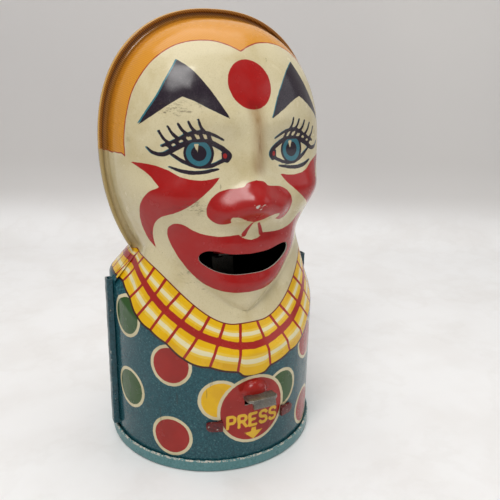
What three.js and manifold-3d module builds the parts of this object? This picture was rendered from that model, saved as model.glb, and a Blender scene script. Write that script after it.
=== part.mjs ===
// Pressed-tin mechanical coin bank in the form of a clown's head on a round can.
// Pressing the lever in the front rocks an arm inside and puts the tongue out of the mouth.
// Millimetres, +Z up, the clown looks along -Y. Shapes are drawn about the can's own axis.

import * as THREE from 'three';
import { mergeVertices } from 'three/addons/utils/BufferGeometryUtils.js';
import Module from 'manifold-3d';

const wasm = await Module();
wasm.setup();

// Driving dimensions -------------------------------------------------------------------

const TIN = 0.45;              // sheet of the shells and the base
const STEEL = 0.8;             // sheet of the mechanism
const GAP = 0.3;               // play between neighbouring pieces

const CAN_RADIUS = 31.1;       // outside of the can wall
const SHELL_BOTTOM = 2.8;
const SEAM_HALF = 0.15;        // each half's seam flange starts this far from the seam plane
const FOLD_BOTTOM = 61.5;      // the back half's rim is folded over the front's above here
const FOLD_FRONT = 1.35;       // reach of that fold in front of the seam plane
const FOLD_LIP = 0.95;         // width of its turned-in lip
const TUCK = 0.8;              // the front half's flange ends this far inside the rim's edge

const BASE_RADIUS = 32.1;
const BASE_HEIGHT = 3.8;
const BASE_HEM = 30.4;         // inner edge of the hem that the bank stands on
const BASE_FLOOR = 2.0;        // underside of the base plate
const TRAP_HOLE = 13.0;        // radius of the hole that the coins are taken out of
const NOTCH_HALF = 3.4;        // two notches in its edge let the trap's fingers through
const NOTCH_DEEP = 2.6;
const TRAP_RADIUS = 16.4;
const TRAP_DISH = 11;          // the trap's plate drops from this radius inwards
const TRAP_SHEET = 0.5;
const GRIP_HALF = 7;           // half length of the ridge that turns the trap
const FINGER_HALF = 2.5;
const FINGER_END = 15.0;

const HEAD_TOP = 126.3;
const HEAD_WIDEST = 90;        // height where the head is widest
const RIM_HALF = 33.2;         // half width of the seam rim there
const RIM_REACH = 2.4;         // the rim stands this far outside the pressed dome
const RIM_UP = HEAD_TOP - HEAD_WIDEST;
const RIM_DOWN = 46;           // the head's egg would end this far below its widest point
const RIM_POWER = 2.3;         // squareness of the rim's outline over the crown

const FACE_DEPTH = 26.3;
const FACE_MIDDLE = 85;        // height where the face is deepest
const FACE_DOWN = 47;          // the dome would end this far below that height
const CROWN_POWER = 2.25;      // squareness of the profile above it and below it
const JAW_POWER = 6;
const NAPE_DEPTH = 23.5;
const SECTION_POWER = 2.3;     // squareness of the head's level sections

const SHOULDER_FRONT = 36;     // top of the upright wall under the chin
const SHOULDER_SIDE = 51.8;    // top of the upright wall at the seams
const CREASE_FRONT = 43.5;     // where the collar meets the chin
const CREASE_SIDE = 60.5;
const CREASE_RADIUS_FRONT = 26.6;
const CREASE_RADIUS_SIDE = 23.6;
const CREASE_BLEND = 1.2;      // softness of the crease between chin and collar
const SHOULDER_POWER = 2.2;    // how late the shoulder line starts to climb

const STRIP_BOTTOM = 5;
const STRIP_TOP = 52.2;
const STRIP_OUT = 33.1;
const STRIP_IN = 31.45;
const STRIP_HALF = 1.4;        // half width of the channel
const STRIP_SHEET = 0.4;
const FLANGE_BOTTOM = 4.1;
const FLANGE_OUT = 32.4;       // edge of the side seam flanges, inside the strips
const SHOULDER_TRIM = 0.9;

const MOUTH_HALF = 13.4;
const MOUTH_LOW = 57.7;
const MOUTH_HIGH = 63.4;
const MOUTH_CORNER = 63.1;     // height of the mouth's corners
const MOUTH_SMILE_LOW = 3.0;   // how far its lower and upper edges rise towards them
const MOUTH_SMILE_HIGH = 1.9;

const SLOT_HALF = 3.0;
const SLOT_LOW = 20.2;
const SLOT_HIGH = 24.6;
const HOOD_HALF = 3.9;         // the hood over the slot
const HOOD_DEPTH = 2.5;
const HOOD_RISE = 3.4;

const PIVOT_Y = -22;
const PIVOT_Z = 19.5;
const PIN_RADIUS = 1.0;
const REST_TILT = -8.4;        // degrees the rocker leans back at rest
const LEVER_REACH = 16;        // from the pivot to the lever's outer end
const ROOT_HEIGHT = 41;        // from the pivot to the tongue's root
const ROOT_BACK = 8;           // the rocker's upright stands this far behind the pivot
const TONGUE_PITCH = 5;        // degrees the tongue rises from the level rocker
const TONGUE_LENGTH = 15.5;
const TONGUE_HALF = 6.5;
const FRAME_HALF = 10.2;       // outside of the mechanism frame's cheeks
const SHELF_Z = 8;
const TAB_LOW = 13.4;
const TAB_HIGH = 16.2;
const TAB_END = 13.8;

const FRONT_REACH = 38;        // furthest point of the lever in front of the can's axis

const rad = THREE.MathUtils.degToRad;

// Colours ------------------------------------------------------------------------------

const paint = (color) => new THREE.MeshStandardMaterial({ color, roughness: 0.32, metalness: 0.0 });
const metal = (color) => new THREE.MeshStandardMaterial({ color, roughness: 0.4, metalness: 1.0 });
const CREAM = paint(0xcdc3a0);
const ORANGE = paint(0xd7963a);
const TEAL = paint(0x32606a);
const PALE_TEAL = paint(0x6e9b9b);
const RED = paint(0x96281f);
const BARE = metal(0x8c8880);

// Solids -------------------------------------------------------------------------------

function toSolid(geometry) {
  const plain = geometry.index ? geometry.toNonIndexed() : geometry.clone();
  plain.deleteAttribute('normal');
  plain.deleteAttribute('uv');
  const merged = mergeVertices(plain, 1e-4);
  const index = merged.index.array;
  const faces = [];
  for (let i = 0; i < index.length; i += 3) {
    const [a, b, c] = [index[i], index[i + 1], index[i + 2]];
    if (a !== b && b !== c && c !== a) faces.push(a, b, c);
  }
  return new wasm.Manifold(new wasm.Mesh({
    numProp: 3,
    vertProperties: new Float32Array(merged.attributes.position.array),
    triVerts: new Uint32Array(faces),
  }));
}

function toGeometry(solid) {
  const mesh = solid.getMesh();
  const geometry = new THREE.BufferGeometry();
  const stride = mesh.numProp;
  const count = mesh.vertProperties.length / stride;
  const points = new Float32Array(count * 3);
  for (let i = 0; i < count; i += 1) {
    for (let k = 0; k < 3; k += 1) points[i * 3 + k] = mesh.vertProperties[i * stride + k];
  }
  geometry.setAttribute('position', new THREE.BufferAttribute(points, 3));
  geometry.setIndex(new THREE.BufferAttribute(new Uint32Array(mesh.triVerts), 1));
  const flat = geometry.toNonIndexed();
  flat.computeVertexNormals();
  return flat;
}

function box(x0, x1, y0, y1, z0, z1) {
  const geometry = new THREE.BoxGeometry(x1 - x0, y1 - y0, z1 - z0);
  geometry.translate((x0 + x1) / 2, (y0 + y1) / 2, (z0 + z1) / 2);
  return toSolid(geometry);
}

function outlineShape(points) {
  return new THREE.Shape(points.map(([u, v]) => new THREE.Vector2(u, v)));
}

// A plate whose outline is drawn in the XZ plane, from y0 to y1.
function plateFromXZ(points, y0, y1, holes = []) {
  const shape = outlineShape(points);
  shape.holes = holes;
  const geometry = new THREE.ExtrudeGeometry(shape, { depth: y1 - y0, bevelEnabled: false });
  geometry.rotateX(Math.PI / 2);
  geometry.translate(0, y1, 0);
  return toSolid(geometry);
}

// A plate whose outline is drawn in the YZ plane, from x0 to x1.
function plateFromYZ(points, x0, x1, holes = []) {
  const shape = outlineShape(points);
  shape.holes = holes;
  const geometry = new THREE.ExtrudeGeometry(shape, { depth: x1 - x0, bevelEnabled: false });
  geometry.rotateY(Math.PI / 2);
  geometry.rotateX(Math.PI / 2);
  geometry.translate(x0, 0, 0);
  return toSolid(geometry);
}

// A plate whose outline is drawn in the XY plane, from z0 to z1.
function plateFromXY(points, z0, z1, holes = []) {
  const shape = outlineShape(points);
  shape.holes = holes;
  const geometry = new THREE.ExtrudeGeometry(shape, { depth: z1 - z0, bevelEnabled: false });
  geometry.translate(0, 0, z0);
  return toSolid(geometry);
}

function roundHole(u, v, radius) {
  const path = new THREE.Path();
  path.absarc(u, v, radius, 0, 2 * Math.PI, true);
  return path;
}

function turned(profile, segments) {
  const points = profile.map(([r, z]) => new THREE.Vector2(r, z));
  const geometry = new THREE.LatheGeometry(points, segments);
  geometry.rotateX(Math.PI / 2);
  return geometry;
}

// A thin pressed sheet between two grids of points that share their layout.
function sheet(outside, inside) {
  const rows = outside.length;
  const columns = outside[0].length;
  const points = [];
  const faces = [];
  for (const grid of [outside, inside]) {
    for (const row of grid) {
      for (const point of row) points.push(...point);
    }
  }
  const at = (layer, i, j) => layer * rows * columns + i * columns + j;
  const quad = (a, b, c, d) => faces.push(a, b, c, a, c, d);
  for (let i = 0; i + 1 < rows; i += 1) {
    for (let j = 0; j + 1 < columns; j += 1) {
      quad(at(0, i, j), at(0, i, j + 1), at(0, i + 1, j + 1), at(0, i + 1, j));
      quad(at(1, i, j), at(1, i + 1, j), at(1, i + 1, j + 1), at(1, i, j + 1));
    }
    quad(at(0, i, 0), at(0, i + 1, 0), at(1, i + 1, 0), at(1, i, 0));
    const last = columns - 1;
    quad(at(0, i, last), at(1, i, last), at(1, i + 1, last), at(0, i + 1, last));
  }
  for (let j = 0; j + 1 < columns; j += 1) {
    quad(at(0, 0, j), at(1, 0, j), at(1, 0, j + 1), at(0, 0, j + 1));
  }
  const geometry = new THREE.BufferGeometry();
  geometry.setAttribute('position', new THREE.Float32BufferAttribute(points, 3));
  geometry.setIndex(faces);
  return toSolid(geometry);
}

// The pressed surface ------------------------------------------------------------------

const easeBetween = (low, high, value) => THREE.MathUtils.smoothstep(value, low, high);

// The larger of two numbers, with the corner between them rounded off.
function softMax(a, b, blend) {
  const near = Math.max(0, blend - Math.abs(a - b)) / blend;
  return Math.max(a, b) + (near * near * blend) / 4;
}

// Half width of the head at height z, inset from the rim's outer edge.
function headHalf(z, inset) {
  const above = z > HEAD_WIDEST;
  const span = (above ? RIM_UP : RIM_DOWN) - inset;
  const power = above ? RIM_POWER : 2;
  const along = Math.abs(z - HEAD_WIDEST) / span;
  return along >= 1 ? 0 : (RIM_HALF - inset) * (1 - along ** power) ** (1 / power);
}

// Depth of the head's dome on its middle line.
function headDepth(z, deepest, inset) {
  const above = z > FACE_MIDDLE;
  const top = HEAD_TOP - RIM_REACH - FACE_MIDDLE;
  const span = (above ? top : FACE_DOWN) - inset;
  const power = above ? CROWN_POWER : JAW_POWER;
  const along = Math.abs(z - FACE_MIDDLE) / span;
  return along >= 1 ? 0 : (deepest - inset) * (1 - along ** power) ** (1 / power);
}

// Raised and hollowed places of the face: [x, z, width, height, how proud].
const FEATURES = [
  [0, 78, 5.8, 5.0, 6.4],        // nose
  [7.0, 75.5, 4.0, 3.6, 2.6],    // nostril wings
  [0, 88, 4.0, 8.0, 1.6],        // bridge
  [6, 98.5, 7, 4, 1.2],          // brows
  [12.5, 91, 7, 5, -1.5],        // eye sockets
  [19, 79.5, 8, 5, 3.2],         // cheeks
  [22, 67.5, 5.5, 5.5, -2.6],    // hollows under the cheeks
  [0, 66.4, 12, 2.6, 1.0],       // upper lip
  [0, 54.9, 11, 2.6, 1.3],       // lower lip
  [0, 47.5, 9, 4, 0.6],          // chin
];

function relief(x, z) {
  let proud = 0;
  for (const [atX, atZ, width, height, amount] of FEATURES) {
    const across = (Math.abs(x) - atX) / width;
    const up = (z - atZ) / height;
    proud += amount * Math.exp(-across * across - up * up);
  }
  return proud;
}

// The collar at an angle from dead ahead: where the upright wall ends, and how it leans in above.
function collarAt(angle) {
  const aside = (angle / (Math.PI / 2)) ** SHOULDER_POWER;
  const shoulder = THREE.MathUtils.lerp(SHOULDER_FRONT, SHOULDER_SIDE, aside);
  const crease = THREE.MathUtils.lerp(CREASE_FRONT, CREASE_SIDE, easeBetween(rad(8), rad(72), angle));
  const narrow = easeBetween(rad(60), rad(90), angle);
  const radius = THREE.MathUtils.lerp(CREASE_RADIUS_FRONT, CREASE_RADIUS_SIDE, narrow);
  return { shoulder, lean: (CAN_RADIUS - radius) / (crease - shoulder) };
}

// Distance from the can's axis to the pressed surface, at an angle from dead ahead.
// Side is 1 for the front half, which has the face, and -1 for the plain back half.
function reach(angle, z, side, inset) {
  const sine = Math.abs(Math.sin(angle));
  const cosine = Math.abs(Math.cos(angle));
  const half = headHalf(z, RIM_REACH + inset);
  const depth = headDepth(z, side > 0 ? FACE_DEPTH : NAPE_DEPTH, inset);
  let head = 0;
  if (half > 0 && depth > 0) {
    const level = (sine / half) ** SECTION_POWER + (cosine / depth) ** SECTION_POWER;
    head = level ** (-1 / SECTION_POWER);
    if (side > 0) head += relief(head * Math.sin(angle), z) * cosine;
  }
  const collar = collarAt(side > 0 ? Math.abs(angle) : Math.PI / 2);
  const body = CAN_RADIUS - inset - Math.max(0, z - collar.shoulder) * collar.lean;
  return z < HEAD_WIDEST ? softMax(head, body, CREASE_BLEND) : head;
}

// Heights of the sheet's rows, close together at the collar and over the crown.
function rowHeights(top) {
  const heights = [SHELL_BOTTOM, 30];
  for (let z = 34; z < 61; z += 2.8) heights.push(z);
  for (let z = 62; z < 98; z += 3.8) heights.push(z);
  const crown = top - 100;
  const steps = 8;
  for (let i = 0; i <= steps; i += 1) heights.push(100 + crown * Math.sin((Math.PI / 2) * (i / steps)));
  return heights;
}

function halfShell(side, columns) {
  const grids = [0, TIN].map((inset) => {
    const rows = rowHeights(HEAD_TOP - RIM_REACH - inset);
    return rows.map((z, i) => {
      const row = [];
      for (let j = 0; j <= columns; j += 1) {
        const angle = -Math.PI / 2 + (Math.PI * j) / columns;
        const out = i === rows.length - 1 ? 0 : reach(angle, z, side, inset);
        row.push([side * out * Math.sin(angle), -side * (SEAM_HALF + out * Math.cos(angle)), z]);
      }
      return row;
    });
  });
  return sheet(grids[0], grids[1]);
}

// The seam plane's outline from one foot over the head to the other. Inset counts inwards from
// the rim's edge on the head, and side is the flange's edge on the can.
function seamOutline(inset, side, from = FLANGE_BOTTOM) {
  const heights = [FLANGE_BOTTOM, SHOULDER_SIDE, SHOULDER_SIDE + 0.8, 54.4, 56.4, 57.9, 58.9, 59.9];
  for (let z = 61.5; z < HEAD_WIDEST; z += 4.75) heights.push(z);
  const steps = 12;
  const rise = HEAD_TOP - inset - HEAD_WIDEST;
  for (let i = 0; i <= steps; i += 1) {
    heights.push(HEAD_WIDEST + rise * Math.sin((Math.PI / 2) * (i / steps)));
  }
  const { lean } = collarAt(Math.PI / 2);
  const trim = side > CAN_RADIUS ? SHOULDER_TRIM : 0;
  const wall = (z) => side - Math.max(0, z - SHOULDER_SIDE) * lean - (z > SHOULDER_SIDE ? trim : 0);
  const kept = heights.filter((z) => z >= from - 1e-6);
  const right = kept.map((z) => [Math.max(headHalf(z, inset), wall(z)), z]);
  right[right.length - 1] = [0, HEAD_TOP - inset];
  const left = right.slice(0, -1).reverse().map(([x, z]) => [-x, z]);
  return [...right, ...left];
}

function seamBand(outer, inner, y0, y1) {
  return plateFromXZ([...outer, ...inner.reverse()], y0, y1);
}

// Shells -------------------------------------------------------------------------------

const FLANGE_IN_HEAD = RIM_REACH + TIN / 2;
const FLANGE_IN_CAN = CAN_RADIUS - TIN / 2;

// A crescent: two shallow bows that meet at the mouth's corners.
function mouthOutline() {
  const steps = 12;
  const bow = (middle, smile, nearly) => {
    const points = [];
    for (let i = 0; i <= steps; i += 1) {
      const along = nearly * Math.sin(rad(-70 + (140 * i) / steps));
      points.push([MOUTH_HALF * along, middle + smile * along ** 2]);
    }
    return points;
  };
  const lower = bow(MOUTH_LOW, MOUTH_SMILE_LOW, 0.96);
  const upper = bow(MOUTH_HIGH, MOUTH_SMILE_HIGH, 0.9);
  return [...lower, [MOUTH_HALF, MOUTH_CORNER], ...upper.reverse(), [-MOUTH_HALF, MOUTH_CORNER]];
}

// The pressed hood over the lever slot: the upper half of a hollow egg.
function hood() {
  const egg = (inset) => {
    const geometry = new THREE.SphereGeometry(1, 20, 14);
    geometry.scale(HOOD_HALF - inset, HOOD_DEPTH - inset, HOOD_RISE - inset);
    geometry.translate(0, -CAN_RADIUS + TIN, SLOT_HIGH);
    return toSolid(geometry);
  };
  const hollow = egg(TIN);
  const around = box(-6, 6, -40, -CAN_RADIUS + TIN / 2, SLOT_HIGH, 30);
  return { half: egg(0).subtract(hollow).intersect(around), hollow };
}

function frontShell() {
  const flange = seamBand(
    seamOutline(TUCK, FLANGE_OUT),
    seamOutline(FLANGE_IN_HEAD, FLANGE_IN_CAN),
    -SEAM_HALF - TIN, -SEAM_HALF,
  );
  const cover = hood();
  let shell = halfShell(1, 30).add(flange).add(cover.half);
  shell = shell.subtract(plateFromXZ(mouthOutline(), -45, -12));
  shell = shell.subtract(box(-SLOT_HALF, SLOT_HALF, -36, -26, SLOT_LOW, SLOT_HIGH));
  const above = box(-6, 6, -36, -26, SLOT_HIGH - 0.1, 30);
  shell = shell.subtract(cover.hollow.intersect(above));
  for (const side of [-1, 1]) {
    const x = side * (FRAME_HALF - STEEL / 2);
    shell = shell.subtract(box(x - 0.8, x + 0.8, -34, -27, TAB_LOW - 0.35, TAB_HIGH + 0.35));
  }
  return shell;
}

function backShell() {
  const flange = seamBand(
    seamOutline(0, FLANGE_OUT),
    seamOutline(FLANGE_IN_HEAD, FLANGE_IN_CAN),
    SEAM_HALF, SEAM_HALF + TIN,
  );
  const wrap = seamBand(
    seamOutline(0, 0, FOLD_BOTTOM), seamOutline(TIN, 0, FOLD_BOTTOM),
    -FOLD_FRONT, SEAM_HALF + TIN,
  );
  const lip = seamBand(
    seamOutline(0, 0, FOLD_BOTTOM), seamOutline(FOLD_LIP, 0, FOLD_BOTTOM),
    -FOLD_FRONT, TIN - FOLD_FRONT,
  );
  return halfShell(-1, 20).add(flange).add(wrap).add(lip);
}

// A channel that closes the side seam of the can.
function seamStrip(side) {
  const web = STRIP_OUT - STRIP_SHEET;
  const slit = STRIP_HALF - STRIP_SHEET;
  const outline = [
    [STRIP_IN, -STRIP_HALF], [STRIP_OUT, -STRIP_HALF], [STRIP_OUT, STRIP_HALF],
    [STRIP_IN, STRIP_HALF], [STRIP_IN, slit], [web, slit], [web, -slit], [STRIP_IN, -slit],
  ];
  const strip = plateFromXY(outline, STRIP_BOTTOM, STRIP_TOP);
  return side > 0 ? strip : strip.rotate([0, 0, 180]);
}

// Base and coin trap -------------------------------------------------------------------

function baseCap() {
  const inner = BASE_RADIUS - TIN;
  const plateTop = BASE_FLOOR + TIN;
  const cap = toSolid(turned([
    [BASE_HEM, 0], [BASE_RADIUS, 0], [BASE_RADIUS, BASE_HEIGHT], [inner, BASE_HEIGHT],
    [inner, plateTop], [TRAP_HOLE, plateTop], [TRAP_HOLE, BASE_FLOOR], [inner, BASE_FLOOR],
    [inner, TIN], [BASE_HEM, TIN], [BASE_HEM, 0],
  ], 56));
  const reachOut = TRAP_HOLE + NOTCH_DEEP;
  const notch = box(-NOTCH_HALF, NOTCH_HALF, -reachOut, reachOut, 1, 4);
  return cap.subtract(notch);
}

// The trap turns under the base plate and is held by two fingers above it.
function coinTrap() {
  const top = BASE_FLOOR - GAP;
  const sunk = top - 0.4;
  const middle = TRAP_DISH - 2;
  const plate = toSolid(turned([
    [0, sunk - TRAP_SHEET], [middle, sunk - TRAP_SHEET], [TRAP_DISH, top - TRAP_SHEET],
    [TRAP_RADIUS, top - TRAP_SHEET], [TRAP_RADIUS, top], [TRAP_DISH, top], [middle, sunk],
    [0, sunk],
  ], 36));
  const grip = box(-GRIP_HALF, GRIP_HALF, -0.6, 0.6, 0.35, top - 0.6);
  let trap = plate.add(grip);
  const above = BASE_FLOOR + TIN + GAP;
  const near = TRAP_HOLE - 0.9;
  const half = FINGER_HALF;
  for (const turn of [-90, 90]) {
    const leg = box(-half, half, near, near + TRAP_SHEET, sunk, above + TRAP_SHEET);
    const finger = box(-half, half, near, FINGER_END, above, above + TRAP_SHEET);
    trap = trap.add(leg.add(finger).rotate([0, 0, turn]));
  }
  return trap;
}

// Mechanism ----------------------------------------------------------------------------

function mechanismFrame() {
  const back = -9;
  const cheek = [
    [-28.2, SHELF_Z], [back, SHELF_Z], [back, 13], [-17, 24], [-26.2, 24], [-28.2, 20],
  ];
  const shelf = box(-FRAME_HALF, FRAME_HALF, -27.5, back, SHELF_Z, SHELF_Z + STEEL);
  let frame = shelf.subtract(box(-1.6, 1.6, -12.2, -10.6, 6, 11));
  for (const side of [-1, 1]) {
    const x0 = side > 0 ? FRAME_HALF - STEEL : -FRAME_HALF;
    const hole = roundHole(PIVOT_Y, PIVOT_Z, PIN_RADIUS + GAP);
    frame = frame.add(plateFromYZ(cheek, x0, x0 + STEEL, [hole]));
    frame = frame.add(frameTab(side));
  }
  return frame;
}

// A tab of the frame: out through the wall and bent over along it, with a round end.
function frameTab(side) {
  const near = CAN_RADIUS + GAP + 0.05;
  const far = near + STEEL;
  const start = Math.asin((FRAME_HALF - STEEL) / far);
  const end = Math.asin(TAB_END / far);
  const points = [];
  const steps = 5;
  for (let i = 0; i <= steps; i += 1) {
    const angle = start + ((end - start) * i) / steps;
    points.push([far * Math.sin(angle), -far * Math.cos(angle)]);
  }
  for (let i = steps; i >= 0; i -= 1) {
    const angle = start + ((end - start) * i) / steps;
    points.push([near * Math.sin(angle), -near * Math.cos(angle)]);
  }
  const round = (TAB_HIGH - TAB_LOW) / 2;
  const plan = [[FRAME_HALF - STEEL - 0.1, TAB_HIGH], [FRAME_HALF - STEEL - 0.1, TAB_LOW]];
  for (let i = 0; i <= 8; i += 1) {
    const turn = -Math.PI / 2 + (Math.PI * i) / 8;
    plan.push([TAB_END - round + round * Math.cos(turn), TAB_LOW + round + round * Math.sin(turn)]);
  }
  const bent = plateFromXY(points, TAB_LOW, TAB_HIGH).intersect(plateFromXZ(plan, -34, -28));
  const reachOut = Math.sqrt(far * far - FRAME_HALF * FRAME_HALF);
  const leg = box(FRAME_HALF - STEEL, FRAME_HALF, -reachOut, -28.0, TAB_LOW, TAB_HIGH);
  const tab = bent.add(leg);
  return side > 0 ? tab : tab.mirror([1, 0, 0]);
}

function pivotPin() {
  const half = FRAME_HALF + GAP + 0.9;
  const headIn = FRAME_HALF + GAP;
  const head = PIN_RADIUS + 0.8;
  const geometry = turned([
    [0, -half], [head, -half], [head, -headIn], [PIN_RADIUS, -headIn],
    [PIN_RADIUS, headIn], [head, headIn], [head, half], [0, half],
  ], 20);
  geometry.rotateY(Math.PI / 2);
  return toSolid(geometry);
}

// The rocker and what rides on it are drawn level, with the pivot at the origin.

const PLATE_LOW = 1.4;                       // the rocker's top plate passes over the pin
const PLATE_HIGH = PLATE_LOW + STEEL;
const LEVER_LOW = PLATE_HIGH + GAP;
const LEVER_HIGH = LEVER_LOW + STEEL;
const EAR_OUT = FRAME_HALF - STEEL - 0.4;

function tongueFrame(solid) {
  return solid.rotate([-TONGUE_PITCH, 0, 0]).translate([0, ROOT_BACK, ROOT_HEIGHT]);
}

const RIVET_X = 2.3;
const RIVET_Y = -2.4;
const RIVET_HOLE = 1.1;

function rockerArm() {
  let arm = box(-EAR_OUT, EAR_OUT, -5.2, ROOT_BACK + STEEL, PLATE_LOW, PLATE_HIGH);
  arm = arm.add(box(-1.7, 1.7, 0, 13, PLATE_LOW, PLATE_HIGH));
  arm = arm.subtract(toSolid(new THREE.CylinderGeometry(0.7, 0.7, 4, 12)).rotate([90, 0, 0])
    .translate([0, 11.5, PLATE_LOW]));
  const ear = [[-4, PLATE_HIGH], [-3, -1.4], [-1.4, -2.8], [1.4, -2.8], [3, -1.4], [6, PLATE_HIGH]];
  for (const side of [-1, 1]) {
    const x0 = side > 0 ? EAR_OUT - STEEL : -EAR_OUT;
    arm = arm.add(plateFromYZ(ear, x0, x0 + STEEL, [roundHole(0, 0, PIN_RADIUS + GAP)]));
  }
  const upright = [
    [-5, PLATE_LOW], [5, PLATE_LOW], [5, 9], [3.4, 13], [3.4, ROOT_HEIGHT - 0.2],
    [-3.4, ROOT_HEIGHT - 0.2], [-3.4, 13], [-5, 9],
  ];
  arm = arm.add(plateFromXZ(upright, ROOT_BACK, ROOT_BACK + STEEL));
  arm = arm.subtract(box(-1.6, 1.6, ROOT_BACK - 1, ROOT_BACK + 2, LEVER_LOW - GAP, LEVER_HIGH + GAP));
  let seat = box(-3.4, 3.4, -5.4, STEEL, -STEEL, 0);
  for (const side of [-1, 1]) {
    const hole = toSolid(new THREE.CylinderGeometry(RIVET_HOLE, RIVET_HOLE, 4, 14)).rotate([90, 0, 0]);
    seat = seat.subtract(hole.translate([side * RIVET_X, RIVET_Y, 0]));
  }
  return arm.add(tongueFrame(seat));
}

// The lever lies on the rocker's plate, with its tab through the upright.
function pressLever() {
  const lip = -LEVER_REACH;
  const wide = 4.4;
  const neck = 2.5;
  const outline = [
    [-wide, lip + 1], [-wide + 1, lip], [wide - 1, lip], [wide, lip + 1], [wide, -11.6],
    [neck, -11.6], [neck, -7.6], [wide, -7.6], [wide, 2.2], [1.7, 2.2], [1.7, 3.2], [wide, 3.2],
    [wide, ROOT_BACK - 0.4], [1.2, ROOT_BACK - 0.4], [1.2, ROOT_BACK + 2.6],
    [-1.2, ROOT_BACK + 2.6], [-1.2, ROOT_BACK - 0.4], [-wide, ROOT_BACK - 0.4], [-wide, 3.2],
    [-1.7, 3.2], [-1.7, 2.2], [-wide, 2.2], [-wide, -7.6], [-neck, -7.6], [-neck, -11.6],
    [-wide, -11.6],
  ];
  const strip = plateFromXY(outline, LEVER_LOW, LEVER_HIGH);
  const lipBend = [
    [lip, LEVER_HIGH], [lip - 0.3, LEVER_LOW - 1.6], [lip + 0.5, LEVER_LOW - 1.6], [lip + 1, LEVER_LOW],
  ];
  return strip.add(plateFromYZ(lipBend, -wide + 1, wide - 1));
}

function tongue() {
  const points = [];
  const steps = 12;
  const tip = -TONGUE_LENGTH;
  const round = 7;
  points.push([3.6, 0.2]);
  points.push([4.2, -6]);
  for (let i = 0; i <= steps; i += 1) {
    const angle = (Math.PI * i) / steps;
    points.push([TONGUE_HALF * Math.cos(angle), tip + round - round * Math.sin(angle)]);
  }
  points.push([-4.2, -6]);
  points.push([-3.6, 0.2]);
  const holes = [-1, 1].map((side) => roundHole(side * RIVET_X, RIVET_Y, RIVET_HOLE));
  return tongueFrame(plateFromXY(points.reverse(), GAP, GAP + STEEL, holes));
}

function tongueRivet(side) {
  const shank = RIVET_HOLE - GAP;
  const low = -STEEL - GAP;
  const high = 2 * GAP + STEEL;
  const geometry = turned([
    [0, low - 0.6], [1.0, low - 0.5], [1.5, low], [shank, low], [shank, high], [1.6, high],
    [1.2, high + 0.6], [0, high + 0.8],
  ], 14);
  return tongueFrame(toSolid(geometry).translate([side * RIVET_X, RIVET_Y, 0]));
}

// Extension spring between the rocker's tail and the frame's shelf, drawn at rest.
function returnSpring() {
  const wire = 0.28;
  const coil = 1.9;
  const turns = 6;
  const bottom = SHELF_Z + STEEL + GAP + wire;
  const top = PIVOT_Z - 1.9;
  const eye = 0.9;
  const points = [];
  const perTurn = 9;
  for (let i = 0; i <= turns * perTurn; i += 1) {
    const angle = (2 * Math.PI * i) / perTurn;
    const z = bottom + ((top - bottom) * i) / (turns * perTurn);
    points.push(new THREE.Vector3(coil * Math.cos(angle), coil * Math.sin(angle), z));
  }
  points.push(new THREE.Vector3(eye, 0, top + wire));
  const path = new THREE.CatmullRomCurve3(points);
  const section = new THREE.Shape();
  for (let i = 0; i < 6; i += 1) {
    const angle = (Math.PI * i) / 3;
    const place = [wire * Math.cos(angle), wire * Math.sin(angle)];
    if (i === 0) section.moveTo(...place);
    else section.lineTo(...place);
  }
  section.closePath();
  const geometry = new THREE.ExtrudeGeometry(section, {
    steps: turns * perTurn, extrudePath: path, bevelEnabled: false,
  });
  return toSolid(geometry);
}

// Assembly -----------------------------------------------------------------------------

const bank = new THREE.Group();

function place(group, name, solid, material) {
  const mesh = new THREE.Mesh(toGeometry(solid), material);
  mesh.name = name;
  group.add(mesh);
  return mesh;
}

// The origin is under the middle of the whole outline, so the can's axis sits a little back.
bank.position.y = (FRONT_REACH - BASE_RADIUS) / 2;

place(bank, 'front_shell', frontShell(), CREAM);
place(bank, 'back_shell', backShell(), ORANGE);
place(bank, 'seam_strip_left', seamStrip(-1), TEAL);
place(bank, 'seam_strip_right', seamStrip(1), TEAL);
place(bank, 'base_cap', baseCap(), PALE_TEAL);
place(bank, 'coin_trap', coinTrap(), BARE);
place(bank, 'mechanism_frame', mechanismFrame(), RED);
place(bank, 'pivot_pin', pivotPin(), BARE).position.set(0, PIVOT_Y, PIVOT_Z);
place(bank, 'return_spring', returnSpring(), BARE).position.set(0, PIVOT_Y + 11.5, 0);

const rocker = new THREE.Group();
rocker.position.set(0, PIVOT_Y, PIVOT_Z);
rocker.rotation.x = rad(REST_TILT);
place(rocker, 'rocker_arm', rockerArm(), BARE);
place(rocker, 'press_lever', pressLever(), BARE);
place(rocker, 'tongue', tongue(), RED);
place(rocker, 'tongue_rivet_left', tongueRivet(-1), BARE);
place(rocker, 'tongue_rivet_right', tongueRivet(1), BARE);
bank.add(rocker);

export default bank;
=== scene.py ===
"""Looks of the pressed-tin clown bank: printed shells, seams, base, lever and light."""
import math
import bpy
import numpy as np
from mathutils import Matrix, Vector


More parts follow.
